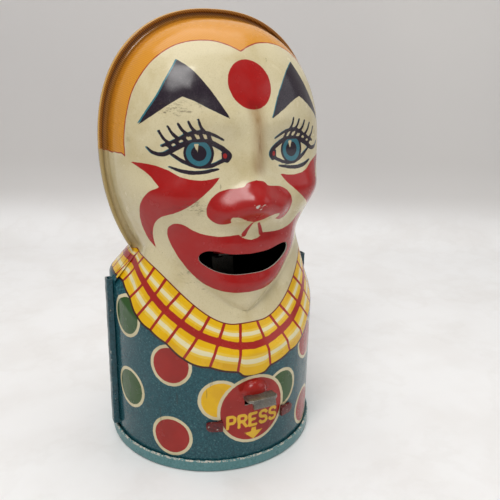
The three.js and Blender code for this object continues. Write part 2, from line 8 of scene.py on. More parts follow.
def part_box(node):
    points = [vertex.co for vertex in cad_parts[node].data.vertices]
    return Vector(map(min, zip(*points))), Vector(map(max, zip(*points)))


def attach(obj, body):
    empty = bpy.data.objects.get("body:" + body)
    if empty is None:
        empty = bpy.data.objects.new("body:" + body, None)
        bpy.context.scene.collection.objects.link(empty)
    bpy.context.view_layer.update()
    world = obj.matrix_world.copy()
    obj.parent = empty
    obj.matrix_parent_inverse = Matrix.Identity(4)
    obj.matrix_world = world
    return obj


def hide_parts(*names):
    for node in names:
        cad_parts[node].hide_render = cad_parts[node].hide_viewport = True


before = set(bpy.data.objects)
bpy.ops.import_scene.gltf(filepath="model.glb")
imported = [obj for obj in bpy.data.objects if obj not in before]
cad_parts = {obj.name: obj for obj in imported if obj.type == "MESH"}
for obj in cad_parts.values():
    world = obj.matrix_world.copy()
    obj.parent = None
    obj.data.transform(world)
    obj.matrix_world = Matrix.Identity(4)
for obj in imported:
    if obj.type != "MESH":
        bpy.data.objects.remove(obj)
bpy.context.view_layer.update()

# Sizes in millimetres, drawn about the can's own axis with the clown looking along -Y ----

MM = 0.001
LOW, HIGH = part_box("base_cap")
AXIS_Y = (LOW.y + HIGH.y) / 2 / MM

TIN = 0.45
CAN_RADIUS = 31.1
SHELL_BOTTOM = 2.8
SEAM_HALF = 0.15
FLANGE_BOTTOM = 4.1
FLANGE_OUT = 32.4
FOLD_BOTTOM = 61.5

HEAD_TOP = 126.3
HEAD_WIDEST = 90.0
RIM_HALF = 33.2
RIM_REACH = 2.4
RIM_DOWN = 46.0
RIM_POWER = 2.3
FACE_DEPTH = 26.3
FACE_MIDDLE = 85.0
FACE_DOWN = 47.0
CROWN_POWER = 2.25
JAW_POWER = 6.0
NAPE_DEPTH = 23.5
SECTION_POWER = 2.3

SHOULDER_FRONT = 36.0
SHOULDER_SIDE = 51.8
SHOULDER_POWER = 2.2
CREASE_FRONT = 43.5
CREASE_SIDE = 60.5
CREASE_RADIUS_FRONT = 26.6
CREASE_RADIUS_SIDE = 23.6
CREASE_BLEND = 1.2

SLOT_HALF = 3.0
SLOT_LOW = 20.2
SLOT_HIGH = 24.4
TAB_MIDDLE = 14.8
TAB_SLOT = (10.1, 0.75, 1.75)    # how far aside, half width and half height
FOREHEAD_DOT = (0.9, 107.1, 6.05)
HOOD = (3.7, 3.3, 2.3)         # half width, rise and depth of the hood over the slot

BASE_RADIUS = 32.1
BASE_HEIGHT = 3.8
BASE_HEM = 30.4
BASE_FLOOR = 2.0
TRAP_HOLE = 13.0

# Raised and hollowed places of the face: x, z, width, height, how proud.
FEATURES = [
    (0, 78, 5.8, 5.0, 6.4), (7.0, 75.5, 4.0, 3.6, 2.6), (0, 88, 4.0, 8.0, 1.6),
    (6, 98.5, 7, 4, 1.2), (12.5, 91, 7, 5, -1.5), (19, 79.5, 8, 5, 3.2),
    (22, 67.5, 5.5, 5.5, -2.6), (0, 66.4, 12, 2.6, 1.0), (0, 54.9, 11, 2.6, 1.3),
    (0, 47.5, 9, 4, 0.6),
]


def ease(low, high, value):
    share = np.clip((value - low) / (high - low), 0, 1)
    return share * share * (3 - 2 * share)


def egg(value, middle, up, down, power_up, power_down):
    """Height of a superellipse's edge above its axis, 1 at the middle and 0 at its ends."""
    above = value > middle
    power = np.where(above, power_up, power_down)
    along = np.clip(np.abs(value - middle) / np.where(above, up, down), 0, 1)
    return (1 - along ** power) ** (1 / power)


def head_half(z, inset):
    up = HEAD_TOP - HEAD_WIDEST - inset
    return (RIM_HALF - inset) * egg(z, HEAD_WIDEST, up, RIM_DOWN - inset, RIM_POWER, 2.0)


def head_depth(z, deepest, inset):
    up = HEAD_TOP - RIM_REACH - FACE_MIDDLE - inset
    return (deepest - inset) * egg(z, FACE_MIDDLE, up, FACE_DOWN - inset, CROWN_POWER, JAW_POWER)


def relief(x, z):
    proud = np.zeros_like(x)
    for at_x, at_z, width, height, amount in FEATURES:
        proud += amount * np.exp(-((np.abs(x) - at_x) / width) ** 2 - ((z - at_z) / height) ** 2)
    return proud


def crease_height(angle):
    return CREASE_FRONT + (CREASE_SIDE - CREASE_FRONT) * ease(8, 72, np.degrees(np.abs(angle)))


def reach(angle, z, side=1, inset=0.0):
    """Distance from the can's axis to the pressed sheet, at an angle from dead ahead."""
    sine, cosine = np.abs(np.sin(angle)), np.abs(np.cos(angle))
    half = np.maximum(head_half(z, RIM_REACH + inset), 1e-4)
    depth = np.maximum(head_depth(z, FACE_DEPTH if side > 0 else NAPE_DEPTH, inset), 1e-4)
    head = ((sine / half) ** SECTION_POWER + (cosine / depth) ** SECTION_POWER)
    head = head ** (-1 / SECTION_POWER)
    turn = np.abs(angle) if side > 0 else np.full_like(angle, math.pi / 2)
    if side > 0:
        head = head + relief(head * np.sin(angle), z) * cosine
    shoulder = SHOULDER_FRONT + (SHOULDER_SIDE - SHOULDER_FRONT) * (turn / (math.pi / 2)) ** SHOULDER_POWER
    narrow = ease(60, 90, np.degrees(turn))
    radius = CREASE_RADIUS_FRONT + (CREASE_RADIUS_SIDE - CREASE_RADIUS_FRONT) * narrow
    lean = (CAN_RADIUS - radius) / (crease_height(turn) - shoulder)
    body = CAN_RADIUS - inset - np.maximum(0, z - shoulder) * lean
    near = np.maximum(0, CREASE_BLEND - np.abs(head - body)) / CREASE_BLEND
    out = np.where(z < HEAD_WIDEST, np.maximum(head, body) + near * near * CREASE_BLEND / 4, head)
    if side > 0:
        across = angle * CAN_RADIUS / HOOD[0]
        bulge = 1 - across ** 2 - ((z - SLOT_HIGH) / HOOD[1]) ** 2
        out = out + np.where(z > SLOT_HIGH - 0.3, HOOD[2] * np.sqrt(np.maximum(bulge, 0)), 0)
    return out


def place(angle, z, side=1, inset=0.0):
    out = reach(angle, z, side, inset)
    top = z > HEAD_TOP - RIM_REACH - inset - 1e-6
    out = np.where(top, 0, out)
    y = -side * (SEAM_HALF + out * np.cos(angle))
    return np.stack([side * out * np.sin(angle), y, z], -1)


# Meshes ---------------------------------------------------------------------------------


def cut(points, faces, field):
    """Keeps the part of a triangle mesh where the field is positive."""
    value = field(points)
    count = (value[faces] > 0).sum(1)
    kept = [tuple(face) for face in faces[count == 3]]
    points = list(points)
    made = {}

    def crossing(a, b):
        key = (min(a, b), max(a, b))
        if key not in made:
            share = value[a] / (value[a] - value[b])
            made[key] = len(points)
            points.append(points[a] + share * (points[b] - points[a]))
        return made[key]

    for face in faces[(count == 1) | (count == 2)]:
        lone = (value[face] > 0).sum() == 1
        turn = next(k for k in range(3) if (value[face[k]] > 0) == lone)
        a, b, c = (int(face[(turn + k) % 3]) for k in range(3))
        ab, ac = crossing(a, b), crossing(a, c)
        if lone:
            kept.append((a, ab, ac))
        else:
            kept.extend([(ab, b, c), (ab, c, ac)])
    faces = np.array(kept)
    used, faces = np.unique(faces, return_inverse=True)
    return np.array(points)[used], faces.reshape(-1, 3)


def loops(faces, total):
    """The open edges of a triangle mesh, chained into closed loops."""
    edges = np.concatenate([faces[:, [0, 1]], faces[:, [1, 2]], faces[:, [2, 0]]]).astype(np.int64)
    code = edges[:, 0] * total + edges[:, 1]
    back = edges[:, 1] * total + edges[:, 0]
    after = {int(a): int(b) for a, b in edges[~np.isin(code, back)]}
    found = []
    while after:
        start, step = after.popitem()
        chain = [start]
        while step != start:
            chain.append(step)
            step = after.pop(step)
        found.append(chain)
    return found


def zip_loops(points, outer, inner):
    """Triangles between two loops that run side by side."""
    start = int(np.argmin(np.linalg.norm(points[inner] - points[outer[0]], axis=1)))
    inner = inner[start:] + inner[:start]
    outer, inner = outer + outer[:1], inner + inner[:1]
    faces = []
    i = j = 0
    while i + 1 < len(outer) or j + 1 < len(inner):
        a, b = points[outer[i]], points[inner[j]]
        more_outer = np.inf if i + 1 == len(outer) else np.linalg.norm(points[outer[i + 1]] - b)
        more_inner = np.inf if j + 1 == len(inner) else np.linalg.norm(points[inner[j + 1]] - a)
        if more_outer < more_inner:
            faces.append((outer[i + 1], outer[i], inner[j]))
            i += 1
        else:
            faces.append((inner[j], inner[j + 1], outer[i]))
            j += 1
    return faces


def spaced(low, high, spacing, weight=lambda z: np.ones_like(z)):
    """Values from low to high whose steps follow the spacing along a weighted length."""
    fine = np.linspace(low, high, 4000)
    length = np.concatenate([[0], np.cumsum(np.diff(fine) * weight(fine[1:]) / spacing(fine[1:]))])
    return np.interp(np.linspace(0, length[-1], int(math.ceil(length[-1])) + 1), length, fine)


def half_shell(side, fine, field):
    """One pressed half as a closed sheet: (points, faces, angle, z, depth) with depth 1 inside."""
    sheets = []
    for inset, coarse in ((0.0, 1.0), (TIN, 3.0)):
        top = HEAD_TOP - RIM_REACH - inset
        probe = np.radians([0.0, 45.0, 88.0])

        def slope(z):
            ahead, behind = (
                [reach(np.full_like(z, a), np.minimum(z + d, top), side, inset) for a in probe]
                for d in (0.02, -0.02)
            )
            return np.sqrt(1 + np.max([((p - q) / 0.04) ** 2 for p, q in zip(ahead, behind)], axis=0))

        shoulder = 117.0
        low = spaced(SHELL_BOTTOM, shoulder, lambda z: fine(z) * coarse, slope)
        crown = int(46 / coarse)
        high = shoulder + (top - shoulder) * np.sin(np.linspace(0, math.pi / 2, crown + 1)[1:])
        rows = np.concatenate([low, high])
        columns = np.linspace(-math.pi / 2, math.pi / 2, int(242 / coarse * (1 if side > 0 else 0.6)) + 1)
        turn, height = np.meshgrid(columns, rows[:-1])
        points = np.stack([turn.ravel(), height.ravel()], 1)
        points = np.vstack([points, [[0.0, top]]])
        wide = len(columns)
        base = (np.arange(len(rows) - 2)[:, None] * wide + np.arange(wide - 1)[None]).ravel()
        faces = np.vstack([
            np.stack([base, base + 1, base + wide + 1], 1),
            np.stack([base, base + wide + 1, base + wide], 1),
        ])
        last = (len(rows) - 2) * wide + np.arange(wide - 1)
        faces = np.vstack([faces, np.stack([last, last + 1, np.full_like(last, len(points) - 1)], 1)])
        if field is not None:
            points, faces = cut(points, faces, field)
        sheets.append((points, faces, place(points[:, 0], points[:, 1], side, inset)))
    (uv0, faces0, xyz0), (uv1, faces1, xyz1) = sheets
    xyz = np.vstack([xyz0, xyz1])
    walls = []
    inner_loops = [[v + len(uv0) for v in chain] for chain in loops(faces1, len(uv1))]
    middle = [xyz[chain].mean(0) for chain in inner_loops]
    for chain in loops(faces0, len(uv0)):
        nearest = int(np.argmin([np.linalg.norm(xyz[chain].mean(0) - m) for m in middle]))
        walls += zip_loops(xyz, chain, inner_loops[nearest])
    faces = np.vstack([faces0, faces1[:, ::-1] + len(uv0), np.array(walls)])
    uv = np.vstack([uv0, uv1])
    depth = np.concatenate([np.zeros(len(uv0)), np.ones(len(uv1))])
    return xyz, faces, uv[:, 0], uv[:, 1], depth


def seam_outline():
    """Foot and edge of the seam rim in the XZ plane, from one foot over the head to the other."""
    low = np.concatenate([
        np.arange(FLANGE_BOTTOM, SHOULDER_SIDE, 2.0),
        np.arange(SHOULDER_SIDE, HEAD_WIDEST, 0.5),
    ])
    lean = (CAN_RADIUS - CREASE_RADIUS_SIDE) / (CREASE_SIDE - SHOULDER_SIDE)
    drop = np.maximum(0, low - SHOULDER_SIDE) * lean
    proud = (FLANGE_OUT - CAN_RADIUS) * (1 - 0.7 * ease(0, 1, low - SHOULDER_SIDE))
    turn = np.linspace(0, math.pi / 2, 90)
    right = []
    for inset, side in ((RIM_REACH, 0.0), (0.0, 1.0)):
        wall = CAN_RADIUS - 0.05 + proud * side - drop
        x = np.maximum(head_half(low, inset), wall)
        up = HEAD_TOP - HEAD_WIDEST - inset
        crown_x = (RIM_HALF - inset) * np.cos(turn) ** (2 / RIM_POWER)
        crown_z = HEAD_WIDEST + up * np.sin(turn) ** (2 / RIM_POWER)
        right.append(np.stack([np.concatenate([x, crown_x]), np.concatenate([low, crown_z])], 1))
    foot, edge = (np.vstack([r, r[-2::-1] * [-1, 1]]) for r in right)
    return foot, edge


def quads(rows, wide, around=True, back_to_first=False):
    """Four-sided faces between neighbouring rows of a grid of points."""
    found = []
    for i in range(rows if back_to_first else rows - 1):
        up = ((i + 1) % rows - i) * wide
        for j in range(wide if around else wide - 1):
            a, b = i * wide + j, i * wide + (j + 1) % wide
            found.append((a, b, b + up, a + up))
    return found


def sweep(foot, edge, section, keep=None):
    """A closed section of (share from edge to foot, y) swept along the seam."""
    if keep is not None:
        foot, edge = foot[keep], edge[keep]
    section = np.array(section)
    rows, wide = len(foot), len(section)
    share = section[None, :, :1]
    plan = edge[:, None] + (foot - edge)[:, None] * share
    y = np.broadcast_to(section[None, :, 1:], (rows, wide, 1))
    xyz = np.concatenate([plan[..., :1], y, plan[..., 1:]], 2).reshape(-1, 3)
    faces = []
    for a, b, c, d in quads(rows, wide):
        faces += [(a, b, c), (a, c, d)]
    for row in (0, rows - 1):
        ends = [row * wide + j for j in range(wide)]
        fan = [(ends[0], ends[k], ends[k + 1]) for k in range(1, wide - 1)]
        faces += [f[::-1] for f in fan] if row == 0 else fan
    return xyz, np.array(faces)


def arc_points(centre, radius, start, end, steps):
    turn = np.radians(np.linspace(start, end, steps))
    return [(centre[0] + radius[0] * math.cos(t), centre[1] + radius[1] * math.sin(t)) for t in turn]


def added(name, data):
    made = bpy.data.objects.new(name, data)
    bpy.context.scene.collection.objects.link(made)
    return made


def make(name, xyz, faces, materials, body, nodes=(), inks=None, which=None, sharp=38):
    mesh = bpy.data.meshes.new(name)
    points = (np.asarray(xyz) + [0, AXIS_Y, 0]) * MM
    mesh.from_pydata(points.tolist(), [], [tuple(int(v) for v in f) for f in faces])
    mesh.validate()
    for ink, values in (inks or {}).items():
        layer = mesh.attributes.new(ink, "FLOAT", "POINT")
        layer.data.foreach_set("value", np.asarray(values, np.float32))
    for material in materials:
        mesh.materials.append(material)
    if which is not None:
        mesh.polygons.foreach_set("material_index", np.asarray(which, np.int32))
    mesh.shade_smooth()
    mesh.set_sharp_from_angle(angle=math.radians(sharp))
    made = added(name, mesh)
    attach(made, body)
    if nodes:
        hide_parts(*nodes)
    return made


# The print: outlines in millimetres on the pressed surface -------------------------------


def smooth(points, steps=5):
    """A Catmull-Rom curve through the points."""
    p = np.array(points, float)
    if len(p) < 3:
        return p
    p = np.vstack([2 * p[0] - p[1], p, 2 * p[-1] - p[-2]])
    out = []
    for i in range(1, len(p) - 2):
        for t in np.linspace(0, 1, steps, endpoint=False):
            a = 2 * p[i] + (p[i + 1] - p[i - 1]) * t
            b = (2 * p[i - 1] - 5 * p[i] + 4 * p[i + 1] - p[i + 2]) * t ** 2
            c = (3 * p[i] - p[i - 1] - 3 * p[i + 1] + p[i + 2]) * t ** 3
            out.append((a + b + c) / 2)
    return np.vstack(out + [p[-2]])


def outline(*runs):
    """A closed outline made of smooth runs that meet at corners."""
    return np.vstack([smooth(run)[:-1] for run in runs])


def mirrored(half):
    """Runs on one side of the middle line, carried on to the other side."""
    return list(half) + [[(-x, z) for x, z in run[::-1]] for run in half[::-1]]


def on_face(points):
    """(x, z) on the face as (angle, z)."""
    turn = np.linspace(0, math.radians(89), 240)
    out = []
    for x, z in np.asarray(points, float):
        across = reach(turn, np.full_like(turn, z)) * np.sin(turn)
        last = int(np.argmax(across)) + 1
        out.append((math.copysign(np.interp(abs(x), across[:last], turn[:last]), x), z))
    return np.array(out)


def on_can(points):
    return np.asarray(points, float) * [1 / CAN_RADIUS, 1]


def on_turn(points):
    return np.radians(np.asarray(points, float)[:, :1]) * [1, 0] + np.asarray(points, float) * [0, 1]


class Print:
    """Distances in mm from each point of a shell to each ink's shapes, negative inside them."""

    def __init__(self, xyz, angle, z, side):
        self.xyz, self.angle, self.z, self.side = xyz, angle, z, side
        self.inks = {}

    def near(self, path, margin):
        reach_angle = margin / 24
        low, high = path.min(0), path.max(0)
        picked = (self.angle > low[0] - reach_angle) & (self.angle < high[0] + reach_angle)
        return np.nonzero(picked & (self.z > low[1] - margin) & (self.z < high[1] + margin))[0]

    def distance(self, path, picked, ends=None):
        line = place(path[:, 0], path[:, 1], self.side)
        best = np.full(len(picked), 99.0)
        points = self.xyz[picked]
        for k in range(len(line) - 1):
            step = line[k + 1] - line[k]
            share = np.clip((points - line[k]) @ step / max(step @ step, 1e-9), 0, 1)
            gap = np.linalg.norm(points - line[k] - share[:, None] * step, axis=1)
            if ends is not None:
                gap = gap - (ends[k] + (ends[k + 1] - ends[k]) * share)
            best = np.minimum(best, gap)
        return best

    def lay(self, ink, picked, values):
        held = self.inks.setdefault(ink, np.full(len(self.z), 9.0))
        held[picked] = np.minimum(held[picked], values)

    def area(self, ink, path, margin=2.0, edge=None):
        picked = self.near(path, margin)
        x, y = self.angle[picked], self.z[picked]
        inside = np.zeros(len(picked), bool)
        for (x0, y0), (x1, y1) in zip(path, np.roll(path, -1, 0)):
            if y0 != y1:
                crosses = (y0 > y) != (y1 > y)
                inside ^= crosses & (x < x0 + (y - y0) * (x1 - x0) / (y1 - y0))
        line = np.vstack([path, path[:1]]) if edge is None else edge
        gap = self.distance(line, picked)
        self.lay(ink, picked, np.where(inside, -gap, gap))

    def stroke(self, ink, path, start, end=None, middle=None, margin=2.0):
        end = start if end is None else end
        share = np.linspace(0, 1, len(path))
        half = start + (end - start) * share
        if middle is not None:
            half = half + (middle - half) * np.sin(math.pi * share) ** 0.7
        picked = self.near(path, margin)
        self.lay(ink, picked, self.distance(path, picked, half))

    def dot(self, ink, centre, radius):
        turn = np.radians(np.arange(0, 360, 12))
        ring = np.stack([centre[0] + radius * np.cos(turn), centre[1] + radius * np.sin(turn)], 1)
        self.area(ink, on_can(ring))


# Face, left half of the picture first; the right half mirrors it.
HAIRLINE = [
    [(-28.9, 88.8), (-28.9, 93.4), (-28.2, 98.7), (-26.5, 104.7), (-23.7, 109.6), (-20.3, 113.3),
     (-16.1, 116.0), (-11.7, 117.3), (-6.8, 117.5), (-3.0, 116.6), (0.2, 115.1)],
    [(0.2, 115.1), (3.2, 116.5), (6.8, 117.4), (11.7, 117.3), (16.1, 116.0), (20.3, 113.3),
     (23.7, 109.6), (26.5, 104.7), (28.2, 98.7), (28.9, 93.4), (28.9, 88.8)],
]
BROW = [
    [(-26.3, 96.9), (-24.3, 100.4), (-22.0, 103.9), (-19.3, 108.3), (-16.2, 112.8)],
    [(-16.2, 112.8), (-13.4, 110.5), (-10.6, 106.9), (-8.2, 103.1), (-5.8, 98.8)],
    [(-5.8, 98.8), (-8.3, 100.1), (-11.4, 101.7), (-14.0, 103.1), (-16.6, 104.1)],
    [(-16.6, 104.1), (-19.5, 102.3), (-22.9, 99.8), (-26.3, 96.9)],
]
LID_LINE = [(-21.7, 92.2), (-18.9, 93.5), (-16.2, 95.0), (-13.6, 95.7), (-10.9, 95.4), (-8.8, 94.5),
            (-7.2, 93.6)]
LASH_LINE = [(-24.9, 91.7), (-23.6, 90.4), (-21.6, 90.1), (-19.9, 91.0), (-17.0, 92.6), (-13.5, 93.3),
             (-10.7, 93.1), (-8.3, 92.0), (-6.4, 90.6), (-5.9, 89.6), (-6.6, 88.6)]
UNDER_LINE = [(-20.0, 90.4), (-17.8, 88.8), (-16.1, 87.9), (-14.3, 87.3), (-12.5, 87.1), (-10.2, 87.4),
              (-7.8, 88.4), (-6.4, 89.2)]
BAG_LINE = [(-20.4, 87.1), (-17.7, 86.1), (-14.9, 85.7), (-11.9, 85.9), (-8.8, 86.5)]
LASHES = [  # tip, root
    ((-22.3, 95.8), (-20.1, 92.7)), ((-20.4, 97.0), (-18.0, 93.9)), ((-18.1, 97.7), (-15.8, 94.9)),
    ((-15.8, 98.2), (-13.7, 95.4)), ((-13.5, 98.7), (-11.9, 95.5)),
]
LATTICE = [  # short bars between the lid line and the lash line
    ((-20.6, 92.5), (-19.3, 91.4)), ((-19.0, 93.4), (-17.7, 92.3)), ((-17.2, 94.4), (-15.9, 93.0)),
    ((-15.2, 95.3), (-14.0, 93.4)), ((-13.2, 95.6), (-12.2, 93.4)), ((-11.3, 95.4), (-10.4, 93.2)),
]
IRIS = (-13.35, 90.45)
FLAME = [
    [(-28.1, 87.6), (-24.7, 87.5), (-21.1, 86.4), (-18.4, 84.8), (-15.4, 84.0), (-12.2, 83.9),
     (-8.6, 84.5)],
    [(-8.6, 84.5), (-10.1, 82.8), (-11.8, 81.3), (-15.2, 78.6), (-19.3, 75.5), (-21.8, 73.9), (-22.8, 72.0),
     (-22.9, 69.5), (-22.5, 66.8), (-21.7, 63.8), (-20.3, 61.5)],
    [(-20.3, 61.5), (-21.9, 63.8), (-23.6, 66.6), (-25.3, 70.7), (-26.2, 74.6), (-26.2, 77.8),
     (-25.1, 80.5), (-23.1, 82.0)],
    [(-23.1, 82.0), (-24.9, 84.9), (-28.1, 87.6)],
]
NOSE = [
    [(0, 72.6), (-2.3, 73.3), (-5.0, 74.6), (-6.9, 74.7)],
    [(-6.9, 74.7), (-6.9, 73.7), (-6.2, 73.0)],
    [(-6.2, 73.0), (-8.1, 72.4), (-10.1, 72.8), (-11.8, 74.2), (-12.5, 76.2), (-12.0, 78.4), (-10.3, 80.3),
     (-7.9, 81.4), (-5.0, 81.9), (-3.4, 82.3)],
    [(-3.4, 82.3), (-2.2, 83.3), (0, 83.8)],
]
LIPS = [
    [(0, 67.5), (-2.4, 68.1), (-3.6, 69.1)],
    [(-3.6, 69.1), (-8.7, 68.9), (-12.5, 69.5), (-14.9, 70.5), (-17.1, 71.9), (-18.8, 72.1), (-19.8, 71.3),
     (-20.1, 69.6), (-19.5, 66.8), (-18.1, 63.3), (-16.3, 60.2), (-14.1, 57.3), (-11.5, 54.9), (-8.2, 53.3),
     (-4.6, 52.6), (0, 52.4)],
]
MOUTH = [
    [(0, 57.7), (-4.5, 57.8), (-8.3, 58.6), (-11.0, 59.9), (-13.0, 61.5), (-13.5, 62.9), (-12.9, 64.2),
     (-11.4, 64.9), (-9.0, 64.7), (-5.5, 63.8), (0, 63.4)],
]
UNDER_NOSE = [[(-0.4, 72.2), (-1.2, 70.6), (-2.2, 69.1)], [(1.6, 72.1), (2.5, 70.4), (2.9, 69.0)]]
NOSE_SCRATCHES = [
    [(-2.1, 78.3), (-1.7, 77.5)], [(-1.5, 78.4), (-1.3, 77.4), (-0.8, 78.1)], [(-0.3, 77.7), (0.4, 78.1)],
    [(0.7, 78.2), (1.3, 77.6)], [(-0.6, 76.9), (0.1, 77.2)],
]

# Collar: angle from dead ahead in degrees, z.
RUFF_MIDDLE = [(0, 37.9), (8.5, 38.3), (15, 39.1), (27.6, 41.3), (37.4, 44.0), (49, 47.9), (57, 51.0),
               (64, 53.9), (72, 56.2), (80, 57.5), (90, 57.9)]
RUFF_EDGE = [(0, 29.5), (5.9, 29.8), (9.4, 31.1), (17, 32.2), (23.7, 33.1), (29.5, 33.7), (37, 35.3),
             (46.2, 39.2), (55.6, 42.0), (64.9, 44.8), (72.7, 48.9), (82.9, 52.2), (90, 53.4)]
RUFF_LINES = [(5.5, 7.5, 9.4), (15.2, 19.2, 23.7), (24.0, 29.5, 37), (33.0, 39.5, 46.2), (41.4, 48.8, 55.6),
              (50.4, 56.6, 64.9), (58.6, 64.3, 72.7), (69.4, 76.2, 82.9), (82, 86, 89.5)]
BACK_LINES = [(a, a, a) for a in range(6, 90, 12)]

# Dots on the can: arc length from dead ahead, z, colour.
DOTS = [(-24.0, 32.6, "red"), (-24.0, 10.3, "red"), (-39.3, 21.2, "green"), (-40.1, 43.4, "green"),
        (-10.0, 22.7, "yellow"), (9.7, 22.2, "green"), (23.6, 32.8, "red"), (23.4, 10.2, "red"),
        (39.3, 21.2, "green"), (40.1, 43.4, "green")]
BACK_DOTS = [
    (-39.0, 41, "yellow"), (-39.0, 17, "red"), (-26, 29, "green"), (-13, 41, "red"),
    (-13, 17, "yellow"), (0, 29, "red"), (13, 41, "green"), (13, 17, "green"), (26, 29, "yellow"),
    (39, 41, "red"), (39, 17, "red"),
]
DOT_RADIUS = 6.3
DOT_RING = 0.95
DISC = (-0.2, 18.6)
DISC_RADIUS = 10.7

# Block letters on a 2.6 x 3.7 cell.
LETTERS = {
    "P": [[(0, 0), (0, 3.7), (1.7, 3.7), (2.3, 3.2), (2.3, 2.2), (1.7, 1.6), (0, 1.6)]],
    "R": [[(0, 0), (0, 3.7), (1.7, 3.7), (2.3, 3.2), (2.3, 2.4), (1.7, 1.8), (0, 1.8)],
          [(1.2, 1.8), (2.4, 0)]],
    "E": [[(2.2, 3.7), (0, 3.7), (0, 0), (2.2, 0)], [(0, 1.85), (1.8, 1.85)]],
    "S": [[(2.3, 3.1), (1.8, 3.7), (0.6, 3.7), (0, 3.2), (0, 2.4), (0.5, 2.0), (1.9, 1.7), (2.3, 1.2),
           (2.3, 0.5), (1.8, 0), (0.5, 0), (0, 0.6)]],
}
WORD = "PRESS"
WORD_START = (-7.85, 13.4)
LETTER_PITCH = 3.3
ARROW = [(-0.75, 12.5), (-0.75, 11.3), (-3.0, 11.3), (0.0, 8.8), (3.0, 11.3), (0.75, 11.3), (0.75, 12.5)]


def both(points):
    flipped = np.array(points, float) * [-1, 1]
    return [np.array(points, float), flipped]


def whole(knots):
    """Knots from the middle line to one side as a curve over both sides."""
    right = smooth(knots, 6)
    left = right[:0:-1] * [-1, 1]
    return on_turn(np.vstack([left, right]))


def scalloped(knots, lines):
    """The collar's lower edge, with a small bow between each pair of radial lines."""
    right = smooth(knots, 10)
    ends = sorted([-lines[0][2]] + [line[2] for line in lines] + [100])
    cell = np.searchsorted(ends, right[:, 0], side="right")
    low = np.array(ends)[cell - 1]
    high = np.array(ends)[np.minimum(cell, len(ends) - 1)]
    right[:, 1] -= 0.28 * np.sin(math.pi * (right[:, 0] - low) / (high - low))
    left = right[:0:-1] * [-1, 1]
    return on_turn(np.vstack([left, right]))


def ruff(sheet, middle, edge_line, lines, crease):
    """The checked collar: its area, its red lines and how far down it each point lies."""
    turn = np.radians(np.linspace(-90, 90, 91))
    top = np.stack([turn, crease(turn)], 1)
    sheet.area("ruff", np.vstack([top, edge_line[::-1]]), edge=edge_line, margin=40)
    sheet.stroke("chin", top, 0.0, margin=60)
    sheet.inks["chin"] = np.where(
        sheet.z > crease(sheet.angle), -sheet.inks["chin"], sheet.inks["chin"])
    sheet.stroke("ruff_red", middle, 1.0)
    for a, b, c in lines:
        for sign in (-1, 1):
            angles = np.radians([a, b, c]) * sign
            heights = [float(crease(angles[:1])[0]), np.interp(angles[1], middle[:, 0], middle[:, 1]),
                       np.interp(angles[2], edge_line[:, 0], edge_line[:, 1])]
            path = smooth(np.stack([angles, heights], 1), 6)
            sheet.stroke("ruff_red", path, 0.42, 0.4)
    z_mid = np.interp(sheet.angle, middle[:, 0], middle[:, 1])
    z_low = np.interp(sheet.angle, edge_line[:, 0], edge_line[:, 1])
    z_top = crease(sheet.angle)
    upper = (z_top - sheet.z) / (z_top - z_mid)
    lower = 1 + (z_mid - sheet.z) / (z_mid - z_low)
    across = np.where(sheet.z > z_mid, upper, lower)
    sheet.inks["ruff_across"] = across


def dots(sheet, spots):
    for s, z, colour in spots:
        sheet.dot("ring", (s, z), DOT_RADIUS)
        sheet.dot(colour, (s, z), DOT_RADIUS - DOT_RING)


def from_rim(sheet, foot_gap):
    """Distance in from the folded edge of the rim, over the flange and onto the dome."""
    return np.where(foot_gap > 0, foot_gap, RIM_REACH + np.abs(sheet.xyz[:, 1]))


